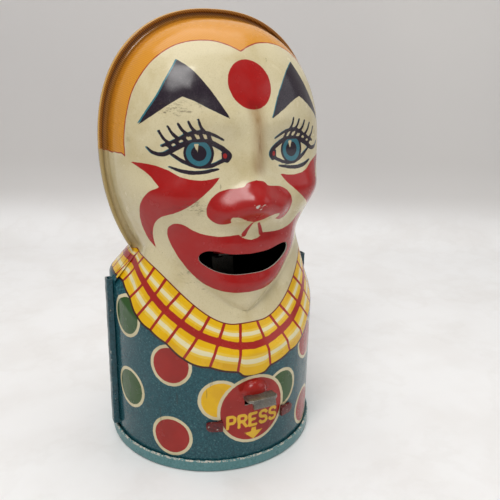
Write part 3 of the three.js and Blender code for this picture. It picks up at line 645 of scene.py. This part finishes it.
def print_front(xyz, angle, z):
    sheet = Print(xyz, angle, z, 1)
    hairline = np.vstack([smooth(run, 6) for run in HAIRLINE])
    hairline = on_face(hairline)
    side = math.radians(100)
    sideburn = np.array([(-side, 89.2), (-1.45, 89.0), (-1.25, 89.4)])
    edge = np.vstack([sideburn, hairline, sideburn[::-1] * [-1, 1]])
    sheet.area("hair", np.vstack([edge, [(side, 150), (-side, 150)]]), margin=60, edge=edge)
    for half in (BROW, FLAME):
        ink = "dark" if half is BROW else "red"
        for points in both(outline(*half)):
            sheet.area(ink, on_face(points))
    for points in both(outline(*BROW) + [-0.28, 0.12]):
        sheet.area("teal", on_face(points if points[0, 0] < 0 else points - [0.5, 0]))
    for points in (outline(*mirrored(NOSE)), outline(*mirrored(LIPS))):
        sheet.area("red", on_face(points))
    turn = np.radians(np.arange(0, 360, 10))
    x, height, radius = FOREHEAD_DOT
    sheet.area("red", on_face(np.stack([x + radius * np.cos(turn), height + radius * np.sin(turn)], 1)))
    for path in UNDER_NOSE:
        sheet.stroke("red", on_face(smooth(path)), 0.35, 0.65)
    for path in NOSE_SCRATCHES:
        sheet.stroke("chip", on_face(np.array(path)), 0.13)
    for sign in (1, -1):
        flip = [sign, 1]
        strokes = [(LID_LINE, 0.35, 0.18, 0.45), (LASH_LINE, 0.2, 0.6, 0.66), (UNDER_LINE, 0.3, 0.5, 0.48),
                   (BAG_LINE, 0.2, 0.25, 0.5)]
        for path, start, end, middle in strokes:
            sheet.stroke("dark", on_face(smooth(path) * flip), start, end, middle)
            sheet.stroke("teal", on_face(smooth(path) * flip + [-0.22, 0.05]), start, end, middle)
        for tip, root in LASHES:
            bend = ((tip[0] + root[0]) / 2 - 0.25, (tip[1] + root[1]) / 2 - 0.2)
            sheet.stroke("dark", on_face(smooth([tip, bend, root]) * flip), 0.3, 0.46)
            sheet.stroke("teal", on_face(smooth([tip, bend, root]) * flip + [-0.2, 0.05]), 0.2, 0.3)
        for tip, root in LATTICE:
            sheet.stroke("dark", on_face(np.array([tip, root]) * flip), 0.5)
        centre = np.array(IRIS) * flip
        for ink, radius in (("iris_ring", 3.75), ("iris", 3.1), ("pupil", 1.9)):
            disc = centre + np.stack([radius * np.cos(turn), 1.02 * radius * np.sin(turn)], 1)
            disc[:, 1] = np.minimum(disc[:, 1], 93.1)
            sheet.area(ink, on_face(disc))
        glint = centre + np.array([(-1.2, 2.3), (0.0, 2.3), (-0.3, 0.1)])
        sheet.area("glint", on_face(glint))
        tear = (np.array([-7.0, 89.75]) * flip) + np.stack([0.5 * np.cos(turn), 0.65 * np.sin(turn)], 1)
        sheet.area("tear", on_face(tear))
        corner = np.array([(-7.9, 90.9), (-6.4, 90.2), (-6.0, 89.4), (-7.8, 88.5)]) * flip
        sheet.area("dark", on_face(corner))
    ruff(sheet, whole(RUFF_MIDDLE), scalloped(RUFF_EDGE, RUFF_LINES), RUFF_LINES, crease_height)
    dots(sheet, DOTS)
    disc = np.stack([DISC[0] + DISC_RADIUS * np.cos(turn), DISC[1] + DISC_RADIUS * np.sin(turn)], 1)
    sheet.area("disc", on_can(disc))
    for k, letter in enumerate(WORD):
        start = (WORD_START[0] + k * LETTER_PITCH, WORD_START[1])
        for stroke in LETTERS[letter]:
            sheet.stroke("word", on_can(np.array(stroke) * [0.92, 1] + start), 0.43)
    sheet.area("word", on_can(ARROW))
    stain = on_face([(1.2, 101.5), (1.8, 97), (2.0, 92), (1.6, 87)])
    sheet.stroke("stain", stain, 0.0, margin=6)
    for path in ([(-21, 100.5), (-14, 101.8)], [(-16, 58.5), (-12, 54)], [(-16.5, 77.5), (-14, 76.8)]):
        sheet.stroke("grime", on_face(path), 0.0, margin=6)
    return sheet


def print_back(xyz, angle, z):
    sheet = Print(xyz, angle, z, -1)
    side = math.radians(100)
    turn = np.linspace(-side, side, 81)
    nape = 66.5 + 1.6 * np.abs(np.sin(turn * 6)) + 22.5 * ease(70, 84, np.degrees(np.abs(turn)))
    edge = np.stack([turn, nape], 1)
    sheet.area("hair", np.vstack([edge, [(side, 150), (-side, 150)]]), margin=60, edge=edge)
    flat = lambda a: np.full_like(a, CREASE_SIDE)
    middle = whole([(0, 56.4), (30, 56.6), (60, 57.2), (90, 57.9)])
    edge_line = scalloped([(0, 51.6), (30, 51.8), (60, 52.4), (90, 53.4)], BACK_LINES)
    ruff(sheet, middle, edge_line, BACK_LINES, flat)
    dots(sheet, BACK_DOTS)
    return sheet


# Materials ------------------------------------------------------------------------------


def srgb(r, g, b):
    def linear(c):
        c /= 255
        return c / 12.92 if c <= 0.04045 else ((c + 0.055) / 1.055) ** 2.4
    return (linear(r), linear(g), linear(b), 1.0)


class Finish:
    """A node material put together by short calls."""

    def __init__(self, name):
        self.material = bpy.data.materials.new(name)
        self.material.use_nodes = True
        self.tree = self.material.node_tree
        self.shader = self.tree.nodes["Principled BSDF"]
        self.where = self.node("ShaderNodeTexCoord").outputs["Object"]

    def node(self, kind, **settings):
        made = self.tree.nodes.new(kind)
        for key, value in settings.items():
            setattr(made, key, value)
        return made

    def put(self, socket, value):
        if isinstance(value, bpy.types.NodeSocket):
            self.tree.links.new(value, socket)
        else:
            socket.default_value = value

    def math(self, operation, a, b=0.0, c=0.0):
        made = self.node("ShaderNodeMath", operation=operation)
        for socket, value in zip(made.inputs, (a, b, c)):
            self.put(socket, value)
        return made.outputs[0]

    def times(self, a, b):
        return self.math("MULTIPLY", a, b)

    def band(self, value, low, high, to_low=0.0, to_high=1.0):
        made = self.node("ShaderNodeMapRange", clamp=True, interpolation_type="SMOOTHSTEP")
        for name, given in (("Value", value), ("From Min", low), ("From Max", high), ("To Min", to_low),
                            ("To Max", to_high)):
            self.put(made.inputs[name], given)
        return made.outputs["Result"]

    def mix(self, share, a, b, blend="MIX"):
        made = self.node("ShaderNodeMix", data_type="RGBA", blend_type=blend)
        for socket, value in ((made.inputs[0], share), (made.inputs[6], a), (made.inputs[7], b)):
            self.put(socket, value)
        return made.outputs[2]

    def ink(self, name):
        return self.node("ShaderNodeAttribute", attribute_name=name).outputs["Fac"]

    def noise(self, size, detail=3.0, stretch=(1, 1, 1), rough=0.5, offset=0.0):
        """Noise from 0 to 1 with blobs of a size in mm."""
        mapping = self.node("ShaderNodeMapping")
        self.put(mapping.inputs["Vector"], self.where)
        mapping.inputs["Scale"].default_value = [s / (size * MM) for s in stretch]
        mapping.inputs["Location"].default_value = [offset, offset, offset]
        made = self.node("ShaderNodeTexNoise")
        self.put(made.inputs["Vector"], mapping.outputs[0])
        made.inputs["Scale"].default_value = 1.0
        made.inputs["Detail"].default_value = detail
        made.inputs["Roughness"].default_value = rough
        return made.outputs["Fac"]

    def bump(self, height, strength, distance_mm, chained=None):
        made = self.node("ShaderNodeBump")
        made.inputs["Strength"].default_value = strength
        made.inputs["Distance"].default_value = distance_mm * MM
        self.put(made.inputs["Height"], height)
        if chained is not None:
            self.put(made.inputs["Normal"], chained)
        return made.outputs["Normal"]

    def set(self, **values):
        names = {"color": "Base Color", "rough": "Roughness", "metal": "Metallic", "normal": "Normal",
                 "coat": "Coat Weight", "coat_rough": "Coat Roughness", "specular": "Specular IOR Level",
                 "anisotropic": "Anisotropic"}
        for key, value in values.items():
            self.put(self.shader.inputs[names[key]], value)
        return self.material


CREAM = srgb(208, 196, 160)
CREAM_DARK = srgb(196, 181, 140)
HAIR = srgb(208, 140, 36)
HAIR_DEEP = srgb(176, 108, 28)
HAIR_RIM = srgb(112, 68, 18)
LINE_RED = srgb(148, 40, 30)
RED = srgb(160, 12, 8)
RED_DULL = srgb(142, 28, 20)
TEAL = srgb(32, 84, 92)
TEAL_DARK = srgb(18, 60, 70)
BAND_TEAL = srgb(90, 136, 138)
YELLOW = srgb(226, 178, 10)
YELLOW_DEEP = srgb(212, 160, 10)
GREEN = srgb(46, 78, 30)
DARK = srgb(34, 24, 34)
IRIS_TEAL = srgb(48, 104, 116)
STEEL = srgb(150, 146, 138)
EDGE_STEEL = srgb(196, 190, 176)


def tin_wear(f, color, speck_color, chip=None):
    """Fine dark specks, pin-holes and hairline scratches over a printed colour."""
    specks = f.band(f.noise(0.55, 2.0, offset=3.1), 0.73, 0.79)
    color = f.mix(f.times(specks, 0.5), color, speck_color)
    scratches = f.band(f.noise(2.2, 4.0, stretch=(1, 1, 0.12), offset=8.2), 0.735, 0.75)
    color = f.mix(f.times(scratches, 0.35), color, speck_color)
    if chip is not None:
        color = f.mix(chip, color, EDGE_STEEL)
    return color


def litho(name, with_face):
    """Printed tin: inks laid one over another, each where its distance says."""
    f = Finish(name)
    wobble = f.times(f.math("SUBTRACT", f.noise(1.4, 2.0), 0.5), 0.22)

    def inside(ink, grow=0.0, soft=0.07):
        value = f.math("ADD", f.ink(ink), wobble)
        return f.band(value, grow - soft, grow + soft, 1.0, 0.0)

    blotch = f.noise(9.0, 4.0, offset=1.7)
    fine = f.noise(0.35, 1.0, offset=5.0)
    speckle = f.noise(0.5, 2.5, rough=0.7, offset=2.0)

    cream = f.mix(f.band(blotch, 0.42, 0.72), CREAM, CREAM_DARK)
    color = f.mix(f.times(f.band(fine, 0.45, 0.75), 0.14), cream, srgb(150, 134, 92))

    # Hair: fine slanting hatch, deeper towards the rim and dark on the rim itself.
    rim = f.ink("rim")
    split = f.node("ShaderNodeSeparateXYZ")
    f.put(split.inputs[0], f.where)
    slant = f.math("ADD", split.outputs["Z"], f.times(split.outputs["X"], 0.8))
    hatch = f.math("SINE", f.times(slant, 2 * math.pi / (0.62 * MM)))
    hatch = f.band(hatch, -0.2, 0.9)
    hair = f.mix(f.band(rim, 3.0, 9.0), HAIR_DEEP, HAIR)
    hair = f.mix(f.times(hatch, f.band(rim, 3.0, 12.0, 0.6, 0.2)), hair, srgb(150, 88, 22))
    hair = f.mix(f.band(rim, 2.2, 3.6, 0.9, 0.0), hair, f.mix(hatch, HAIR_RIM, srgb(168, 112, 40)))
    # The folded edge of the rim is lighter: wear, with a painted highlight.
    hair = f.mix(f.band(rim, 0.08, 0.2, 0.8, 0.0), hair, srgb(206, 160, 76))
    # Painted shade: the cream is darkened towards the rim's flange and cove.
    color = f.mix(f.band(rim, 0.3, 5.0, 0.85, 0.0), color, srgb(196, 176, 128), "MULTIPLY")
    color = f.mix(inside("hair"), color, hair)
    hairline = f.math("SUBTRACT", f.math("ABSOLUTE", f.ink("hair")), 0.17)
    color = f.mix(f.band(f.math("ADD", hairline, wobble), -0.07, 0.07, 1.0, 0.0), color, LINE_RED)

    # Can: speckled teal below the collar.
    body = f.mix(f.band(speckle, 0.35, 0.68), TEAL, TEAL_DARK)
    body = f.mix(f.times(f.band(speckle, 0.3, 0.42, 1.0, 0.0), 0.55), body, srgb(92, 136, 138))
    body = f.mix(f.times(f.band(blotch, 0.5, 0.8), 0.4), body, srgb(40, 84, 92))
    below = f.band(f.ink("chin"), -0.05, 0.05)
    color = f.mix(below, color, body)

    ring = f.times(inside("ring"), below)
    color = f.mix(ring, color, cream)
    red_body = f.mix(f.band(blotch, 0.35, 0.7), srgb(156, 32, 24), RED_DULL)
    red = f.mix(f.band(f.noise(6.0, 3.0, offset=9.0), 0.35, 0.65), RED, srgb(160, 30, 28))
    red = f.mix(below, red, red_body)
    color = f.mix(inside("red"), color, red)
    color = f.mix(inside("yellow"), color, f.mix(f.band(blotch, 0.4, 0.7), YELLOW, YELLOW_DEEP))
    color = f.mix(inside("green"), color, f.mix(f.band(blotch, 0.4, 0.7), GREEN, srgb(48, 82, 40)))

    # Collar: yellow cells with a cream stripe, red lines, dark edges.
    across = f.math("FRACT", f.ink("ruff_across"))
    stripe = f.math("ABSOLUTE", f.math("SUBTRACT", across, 0.5))
    cell = f.mix(f.band(blotch, 0.45, 0.75), YELLOW, YELLOW_DEEP)
    cell = f.mix(f.band(stripe, 0.17, 0.2, 0.45, 0.0), cell, srgb(232, 206, 96))
    cell = f.mix(f.band(stripe, 0.07, 0.1, 0.9, 0.0), cell, srgb(224, 216, 178))
    cell = f.mix(inside("ruff_red"), cell, f.mix(blotch, srgb(168, 36, 24), srgb(150, 34, 30)))
    ruff_area = f.times(inside("ruff"), below)
    color = f.mix(ruff_area, color, cell)
    edge_line = f.math("SUBTRACT", f.math("ABSOLUTE", f.math("ADD", f.ink("ruff"), -0.1)), 0.3)
    color = f.mix(f.times(f.band(edge_line, -0.06, 0.06, 1.0, 0.0), below), color, srgb(58, 24, 22))
    chin_line = f.math("SUBTRACT", f.math("ABSOLUTE", f.math("ADD", f.ink("chin"), -0.1)), 0.17)
    color = f.mix(f.band(chin_line, -0.06, 0.06, 1.0, 0.0), color, srgb(112, 28, 24))

    worn = 0.0
    if with_face:
        color = f.mix(inside("disc"), color, cream)
        color = f.mix(inside("disc", -0.9), color, red_body)
        color = f.mix(inside("word"), color, srgb(222, 176, 44))
        color = f.mix(inside("teal"), color, srgb(46, 112, 124))
        color = f.mix(inside("dark"), color, f.mix(f.band(fine, 0.4, 0.8), DARK, srgb(50, 38, 48)))
        color = f.mix(inside("iris_ring"), color, DARK)
        color = f.mix(inside("iris"), color, IRIS_TEAL)
        color = f.mix(inside("pupil"), color, DARK)
        color = f.mix(inside("glint"), color, cream)
        color = f.mix(inside("tear"), color, srgb(150, 36, 34))
        near_stain = f.band(f.ink("stain"), 0.0, 3.6, 1.0, 0.0)
        stain = f.times(near_stain, f.noise(3.0, 3.0, (1, 1, 0.3)))
        color = f.mix(stain, color, srgb(170, 120, 40), "MULTIPLY")
        streak = f.times(f.band(f.ink("stain"), 0.2, 0.8, 0.8, 0.0),
                        f.band(f.noise(2.0, 2.0, (1, 1, 0.3), offset=4.0), 0.45, 0.6))
        color = f.mix(streak, color, srgb(120, 84, 30))
        smudge = f.times(f.band(f.ink("grime"), 0.3, 3.0, 0.75, 0.0),
                        f.band(f.noise(1.2, 5.0, (0.5, 0.5, 1.4), 0.75, offset=6.0), 0.5, 0.66))
        color = f.mix(smudge, color, srgb(84, 74, 56))
        worn = inside("chip", 0.0, 0.05)
    patches = f.band(f.noise(5.5, 5.0, rough=0.65, offset=11.0), 0.62, 0.8)
    color = f.mix(f.times(patches, 0.35), color, srgb(110, 92, 56), "MULTIPLY")
    color = tin_wear(f, color, srgb(52, 42, 34), worn)
    # The cut edges of the sheet are bare, and the inside is painted near-black as painted shade.
    within = f.ink("within")
    color = f.mix(f.band(within, 0.12, 0.2), color, EDGE_STEEL)
    color = f.mix(f.band(within, 0.8, 0.95), color, srgb(30, 27, 22))
    dents = f.bump(f.noise(9.0, 1.5, offset=7.0), 0.5, 0.7)
    grain = f.bump(f.noise(0.4, 2.0), 0.12, 0.03, dents)
    rough = f.band(f.noise(4.0, 4.0, offset=12.0), 0.3, 0.75, 0.16, 0.3)
    return f.set(color=color, rough=rough, normal=grain, coat=0.12, coat_rough=0.1, specular=0.32)


def enamel(name, light, dark, speck, chip_size, chip_level):
    """Plain enamel on a small part, chipped to bare tin on its edges."""
    f = Finish(name)
    color = f.mix(f.band(f.noise(0.6, 3.0, rough=0.7), 0.35, 0.7), light, dark)
    color = f.mix(f.times(f.band(f.noise(5.0, 3.0, offset=2.0), 0.45, 0.75), 0.5), color, dark)
    chips = f.band(f.noise(chip_size, 4.0, rough=0.7, offset=5.0), chip_level, chip_level + 0.02)
    edge = f.band(f.ink("edge"), 0.25, 0.6, 1.0, 0.0)
    color = tin_wear(f, color, speck, f.times(chips, edge))
    normal = f.bump(f.noise(0.5, 2.0), 0.15, 0.04)
    rough = f.band(f.noise(3.0, 3.0), 0.3, 0.7, 0.25, 0.45)
    return f.set(color=color, rough=rough, normal=normal, coat=0.1, coat_rough=0.15, specular=0.35)


def steel(name, tone, grain_axis=(1, 0.05, 1), rust=0.0):
    """Bare sheet steel with a rolled grain and a little tarnish."""
    f = Finish(name)
    grain = f.noise(0.18, 3.0, grain_axis, 0.6)
    color = f.mix(f.band(grain, 0.3, 0.7), tone, srgb(112, 108, 100))
    color = f.mix(f.band(f.noise(3.0, 4.0, offset=3.0), 0.55, 0.8), color, srgb(120, 104, 82))
    if rust:
        color = f.mix(f.band(f.noise(1.6, 5.0, rough=0.7, offset=6.0), 1 - rust, 1.05 - rust), color,
                      srgb(96, 58, 34))
    rough = f.band(f.noise(1.5, 3.0, grain_axis, offset=1.0), 0.3, 0.7, 0.3, 0.5)
    return f.set(color=color, rough=rough, metal=0.9, normal=f.bump(grain, 0.2, 0.02))


FACE_PRINT = litho("printed_front", True)
BACK_PRINT = litho("printed_back", False)
STRIP_PAINT = enamel("strip_enamel", srgb(40, 84, 94), srgb(24, 54, 62), srgb(20, 26, 28), 1.3, 0.64)
BAND_PAINT = enamel("band_enamel", BAND_TEAL, srgb(74, 118, 120), srgb(60, 66, 60), 0.8, 0.5)
FRAME_PAINT = enamel("frame_enamel", srgb(104, 24, 24), srgb(70, 16, 18), srgb(30, 18, 18), 1.0, 0.6)
TONGUE_PAINT = enamel("tongue_enamel", srgb(176, 40, 36), srgb(150, 30, 30), srgb(60, 20, 20), 1.0, 0.66)
BARE = steel("bare_sheet", STEEL, rust=0.3)
# Painted shade: a darker steel for the rocker arm, which sits in shade behind the mouth.
SHADED_STEEL = steel("steel_with_painted_shade", srgb(70, 66, 60), rust=0.4)
SPRING = steel("spring_wire", srgb(128, 124, 116), (1, 1, 1), rust=0.25)


# Front and back shells ------------------------------------------------------------------


def fine_front(z):
    tops = [7, 31, 60, 83, 100, 117]
    return np.select([z < top for top in tops], [0.8, 0.4, 0.5, 0.44, 0.34, 0.44], 0.8)


def fine_back(z):
    return np.full_like(z, 0.62)


mouth_edge = on_face(outline(*mirrored(MOUTH)))


def holes(points):
    """Positive on the sheet, negative inside the mouth, the lever's slot and the tab slots."""
    angle, z = points[:, 0], points[:, 1]
    sheet = Print(place(angle, z), angle, z, 1)
    sheet.area("hole", mouth_edge, margin=3)
    across = np.abs(angle) * CAN_RADIUS
    from_middle = np.abs(z - (SLOT_LOW + SLOT_HIGH) / 2)
    slot = np.maximum(across - SLOT_HALF, from_middle - (SLOT_HIGH - SLOT_LOW) / 2)
    aside, half, rise = TAB_SLOT
    tab = np.maximum(np.abs(across - aside) - half, np.abs(z - TAB_MIDDLE) - rise)
    return np.minimum(sheet.inks["hole"], np.minimum(slot, tab))


def printed_half(name, node, side, fine, field, printer, section, extra, material):
    xyz, faces, angle, z, depth = half_shell(side, fine, field)
    foot, edge = seam_outline()
    parts = [(xyz, faces, angle, z, depth, np.zeros(len(z)))]
    for swept, keep_above in [(section, None)] + extra:
        keep = None if keep_above is None else (edge[:, 1] > keep_above)
        ring, ring_faces = sweep(foot, edge, swept, keep)
        if side < 0:
            ring_faces = ring_faces[:, ::-1]
        turn = np.arctan2(side * ring[:, 0], np.abs(ring[:, 1]) + 0.4)
        share = np.tile(np.array(swept)[:, 0], len(ring) // len(swept))
        gap = np.maximum(share * RIM_REACH, 0.05)
        parts.append((ring, ring_faces, turn, ring[:, 2], np.zeros(len(ring)), gap))
    start = 0
    stacked = []
    for part in parts:
        stacked.append(part[1] + start)
        start += len(part[0])
    faces = np.vstack(stacked)
    xyz, angle, z, depth, gap = (np.concatenate([p[k] for p in parts]) for k in (0, 2, 3, 4, 5))
    sheet = printer(xyz, angle, z)
    inks = dict(sheet.inks)
    inks["rim"] = from_rim(sheet, gap)
    inks["within"] = depth
    return make(name, xyz, faces, [material], "root", [node], inks)


SEAM = 0.34                     # share of the rim's reach that the front flange stays in from the edge
FRONT_SECTION = [
    (1.06, -2.4), (1.0, -1.6), (0.97, -1.25), (0.9, -0.95), (0.8, -0.75), (0.68, -0.64), (SEAM, -0.6),
    (SEAM, -0.15), (1.06, -0.15),
]
BACK_SECTION = [
    (1.06, 2.4), (1.0, 1.6), (0.97, 1.25), (0.9, 0.95), (0.8, 0.75), (0.68, 0.64), (0.1, 0.6), (0.1, 0.15),
    (1.06, 0.15),
]
FOLD_SECTION = [
    (0.12, 0.6), (0.03, 0.5), (0.0, 0.3), (0.0, -0.95), (0.03, -1.18), (0.1, -1.32), (0.2, -1.36),
    (0.32, -1.3), (0.39, -1.16), (0.39, -1.0), (0.33, -0.9), (0.2, -0.88), (0.18, -0.7), (0.18, 0.1),
]
printed_half("printed_front_shell", "front_shell", 1, fine_front, holes, print_front, FRONT_SECTION, [],
             FACE_PRINT)
printed_half("printed_back_shell", "back_shell", -1, fine_back, None, print_back, BACK_SECTION,
             [(FOLD_SECTION, FOLD_BOTTOM)], BACK_PRINT)

# Base -----------------------------------------------------------------------------------


def turned(profile, segments):
    """A closed profile of (radius, z) turned about the can's axis."""
    rows, wide = segments, len(profile)
    turn = np.linspace(0, 2 * math.pi, rows, endpoint=False)
    ring = np.array(profile)
    xyz = np.stack([
        np.outer(np.cos(turn), ring[:, 0]), np.outer(np.sin(turn), ring[:, 0]),
        np.broadcast_to(ring[:, 1], (rows, wide)),
    ], -1).reshape(-1, 3)
    return xyz, [(a, d, c, b) for a, b, c, d in quads(rows, wide, back_to_first=True)]


def base():
    inner = BASE_RADIUS - TIN
    plate = BASE_FLOOR + TIN
    profile = (
        [(BASE_HEM, 0.05), (BASE_RADIUS - 0.75, 0.0)]
        + arc_points((BASE_RADIUS - 0.7, 0.7), (0.7, 0.7), -80, 0, 5)
        + [(BASE_RADIUS, 1.6), (BASE_RADIUS - 0.02, 2.9)]
        + arc_points((BASE_RADIUS - 0.25, BASE_HEIGHT - 0.3), (0.25, 0.3), 0, 90, 4)
        + [(inner, BASE_HEIGHT - 0.02), (inner, plate), (TRAP_HOLE, plate), (TRAP_HOLE, BASE_FLOOR),
           (inner, BASE_FLOOR), (inner, TIN), (BASE_HEM, TIN)]
    )
    profile = profile[::-1]
    xyz, faces = turned(profile, 256)
    turn = np.arctan2(xyz[:, 1], xyz[:, 0])
    rim = (xyz[:, 2] > BASE_HEIGHT - 0.4) & (np.hypot(xyz[:, 0], xyz[:, 1]) > inner - 0.1)
    ragged = 0.08 * np.sin(turn * 37) * np.sin(turn * 11 + 1) + 0.07 * np.sin(turn * 83 + 2)
    xyz[:, 2] -= np.where(rim, 0.16 + ragged, 0)
    at_wall = np.hypot(xyz[:, 0], xyz[:, 1]) > inner - 0.1
    edge = np.where(at_wall, np.abs(BASE_HEIGHT - 0.16 - xyz[:, 2]), 2.0)
    return make("base_band", xyz, faces, [BAND_PAINT], "root", ["base_cap"], {"edge": edge})


base()

# Seam strips ----------------------------------------------------------------------------

STRIP_BOTTOM = 5.0
STRIP_TOP = 52.2
STRIP_OUT = 33.1
STRIP_IN = 31.45
STRIP_HALF = 1.4


def strip(side):
    """A channel folded over the side seam, a little uneven and open at its top."""
    round_off = 0.35
    outer = (
        [(STRIP_IN, -STRIP_HALF), (STRIP_OUT - round_off, -STRIP_HALF)]
        + arc_points((STRIP_OUT - round_off, -STRIP_HALF + round_off), (round_off, round_off), -60, -20, 3)
        + arc_points((STRIP_OUT - round_off, STRIP_HALF - round_off), (round_off, round_off), 20, 60, 3)
        + [(STRIP_OUT - round_off, STRIP_HALF), (STRIP_IN, STRIP_HALF)]
    )
    web, slit = STRIP_OUT - 0.4, STRIP_HALF - 0.4
    section = np.array(outer + [(STRIP_IN, slit), (web, slit), (web, -slit), (STRIP_IN, -slit)])
    heights = np.linspace(STRIP_BOTTOM, STRIP_TOP, 60)
    rows, wide = len(heights), len(section)
    waver = 0.06 * np.sin(heights * 0.7 + side) + 0.04 * np.sin(heights * 2.1)
    xyz = np.zeros((rows, wide, 3))
    xyz[:, :, 0] = side * (section[None, :, 0] + waver[:, None] * 0.4)
    xyz[:, :, 1] = section[None, :, 1] + waver[:, None] * 0.5
    xyz[:, :, 2] = heights[:, None]
    faces = quads(rows, wide)
    faces += [tuple(range(wide))[::-1], tuple((rows - 1) * wide + j for j in range(wide))]
    if side < 0:
        faces = [f[::-1] for f in faces]
    corner = np.minimum(np.abs(section[:, 1] + STRIP_HALF), np.abs(section[:, 1] - STRIP_HALF))
    edge = np.broadcast_to(np.where(section[:, 0] > STRIP_IN + 0.8, corner, 1.0), (rows, wide)).copy()
    edge[-1] = 0
    name = "left" if side < 0 else "right"
    return make("strip_" + name, xyz.reshape(-1, 3), faces, [STRIP_PAINT], "root", ["seam_strip_" + name],
                {"edge": edge.ravel()})


for side in (-1, 1):
    strip(side)

# Mechanism: the CAD solids with their edges rounded ---------------------------------------


def rounded(name, node, body, material, width):
    """A copy of a CAD solid with softened edges and an edge-wear attribute."""
    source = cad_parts[node]
    mesh = source.data.copy()
    mesh.name = name
    mesh.materials.clear()
    mesh.materials.append(material)
    made = added(name, mesh)
    weld = made.modifiers.new("weld", "WELD")
    weld.merge_threshold = 0.00001
    bevel = made.modifiers.new("bevel", "BEVEL")
    bevel.width = width * MM
    bevel.segments = 2
    bevel.limit_method = "ANGLE"
    bevel.angle_limit = math.radians(35)
    bpy.context.view_layer.update()
    shape = bpy.data.meshes.new_from_object(made.evaluated_get(bpy.context.evaluated_depsgraph_get()))
    made.modifiers.clear()
    made.data = shape
    layer = shape.attributes.new("edge", "FLOAT", "POINT")
    layer.data.foreach_set("value", np.full(len(shape.vertices), 0.4, np.float32))
    shape.shade_smooth()
    shape.set_sharp_from_angle(angle=math.radians(30))
    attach(made, body)
    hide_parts(node)
    return made


rounded("frame_and_tabs", "mechanism_frame", "root", FRAME_PAINT, 0.12)
rounded("lever_plate", "press_lever", "rocker", BARE, 0.1)
rounded("tongue_plate", "tongue", "rocker", TONGUE_PAINT, 0.15)

# The rocker arm takes the darker steel as painted shade.
for node, material in (("pivot_pin", BARE), ("rocker_arm", SHADED_STEEL), ("tongue_rivet_left", BARE),
                       ("tongue_rivet_right", BARE), ("coin_trap", BARE), ("return_spring", SPRING)):
    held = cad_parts[node]
    held.data.materials.clear()
    held.data.materials.append(material)

# Floor, light and camera ----------------------------------------------------------------

CAMERA_AT = (-68.95, -164.17, 112.17)
CAMERA_TURN = math.radians(26.605)
CAMERA_DOWN = math.radians(17.239)
CAMERA_ROLL = math.radians(1.214)
LENS = 43.28


def stage_floor():
    """A pale floor that curves up into a plain backdrop."""
    near, far, rise, bend = -420.0, 235.0, 560.0, 50.0
    profile = [(near, 0.0), (far - bend, 0.0)]
    for a in np.linspace(0.15, math.pi / 2, 12):
        profile.append((far - bend + bend * math.sin(a), bend - bend * math.cos(a)))
    profile.append((far, rise))
    xyz = []
    across = np.linspace(-620, 620, 9)
    for y, z in profile:
        xyz += [(x * math.cos(CAMERA_TURN) + y * math.sin(CAMERA_TURN),
                 y * math.cos(CAMERA_TURN) - x * math.sin(CAMERA_TURN), z - 0.02) for x in across]
    faces = quads(len(profile), len(across), around=False)
    f = Finish("pale_floor")
    veins = f.noise(60.0, 6.0, rough=0.62)
    vein = f.band(f.math("ABSOLUTE", f.math("SUBTRACT", veins, 0.5)), 0.0, 0.035, 0.5, 0.0)
    mottle = f.band(f.noise(30.0, 5.0, offset=2.0), 0.4, 0.7)
    color = f.mix(mottle, srgb(240, 239, 238), srgb(235, 233, 231))
    color = f.mix(f.times(vein, 0.12), color, srgb(196, 188, 178))
    split = f.node("ShaderNodeSeparateXYZ")
    f.put(split.inputs[0], f.where)
    wall = f.mix(f.band(f.noise(160.0, 1.0), 0.3, 0.7), srgb(206, 203, 200), srgb(200, 197, 195))
    color = f.mix(f.band(split.outputs["Z"], 0.002, 0.03), color, wall)
    f.set(color=color, rough=0.42, specular=0.4)
    mesh = bpy.data.meshes.new("stage_floor")
    mesh.from_pydata([(x * MM, y * MM, z * MM) for x, y, z in xyz], [], faces)
    mesh.materials.append(f.material)
    mesh.shade_smooth()
    added("stage_floor", mesh)


stage_floor()


def lamp(name, where, aim, size, power, tint=(1, 1, 1)):
    light = bpy.data.lights.new(name, "AREA")
    light.shape = "RECTANGLE"
    light.size, light.size_y = size[0] * MM, size[1] * MM
    light.energy = power
    light.color = tint
    made = added(name, light)
    spot = Vector(where) * MM
    direction = Vector(aim) * MM - spot
    made.location = spot
    made.rotation_euler = direction.to_track_quat("-Z", "Y").to_euler()


lamp("window", (-230, -270, 520), (0, 0, 75), (260, 200), 1.7, (1, 0.985, 0.96))
lamp("fill", (420, -260, 260), (0, 0, 60), (320, 300), 0.3, (0.96, 0.98, 1))
lamp("top", (0, 40, 560), (0, 0, 60), (500, 420), 1.3)
world = bpy.data.worlds.new("studio")
world.use_nodes = True
world.node_tree.nodes["Background"].inputs[0].default_value = (0.93, 0.94, 0.96, 1)
world.node_tree.nodes["Background"].inputs[1].default_value = 0.36
bpy.context.scene.world = world
bpy.context.scene.view_settings.view_transform = "Standard"


def camera():
    view = bpy.data.cameras.new("camera")
    view.sensor_width = 36
    view.lens = LENS
    view.clip_start = 0.01
    ahead = Vector((math.sin(CAMERA_TURN), math.cos(CAMERA_TURN), 0))
    right = Vector((math.cos(CAMERA_TURN), -math.sin(CAMERA_TURN), 0))
    up = Vector((0, 0, 1))
    forward = math.cos(CAMERA_DOWN) * ahead - math.sin(CAMERA_DOWN) * up
    above = math.sin(CAMERA_DOWN) * ahead + math.cos(CAMERA_DOWN) * up
    x_axis = math.cos(CAMERA_ROLL) * right + math.sin(CAMERA_ROLL) * above
    y_axis = -math.sin(CAMERA_ROLL) * right + math.cos(CAMERA_ROLL) * above
    made = added("camera", view)
    made.matrix_world = Matrix.Translation((Vector(CAMERA_AT) + Vector((0, AXIS_Y, 0))) * MM) @ Matrix(
        (x_axis, y_axis, -forward)).transposed().to_4x4()
    bpy.context.scene.camera = made


camera()
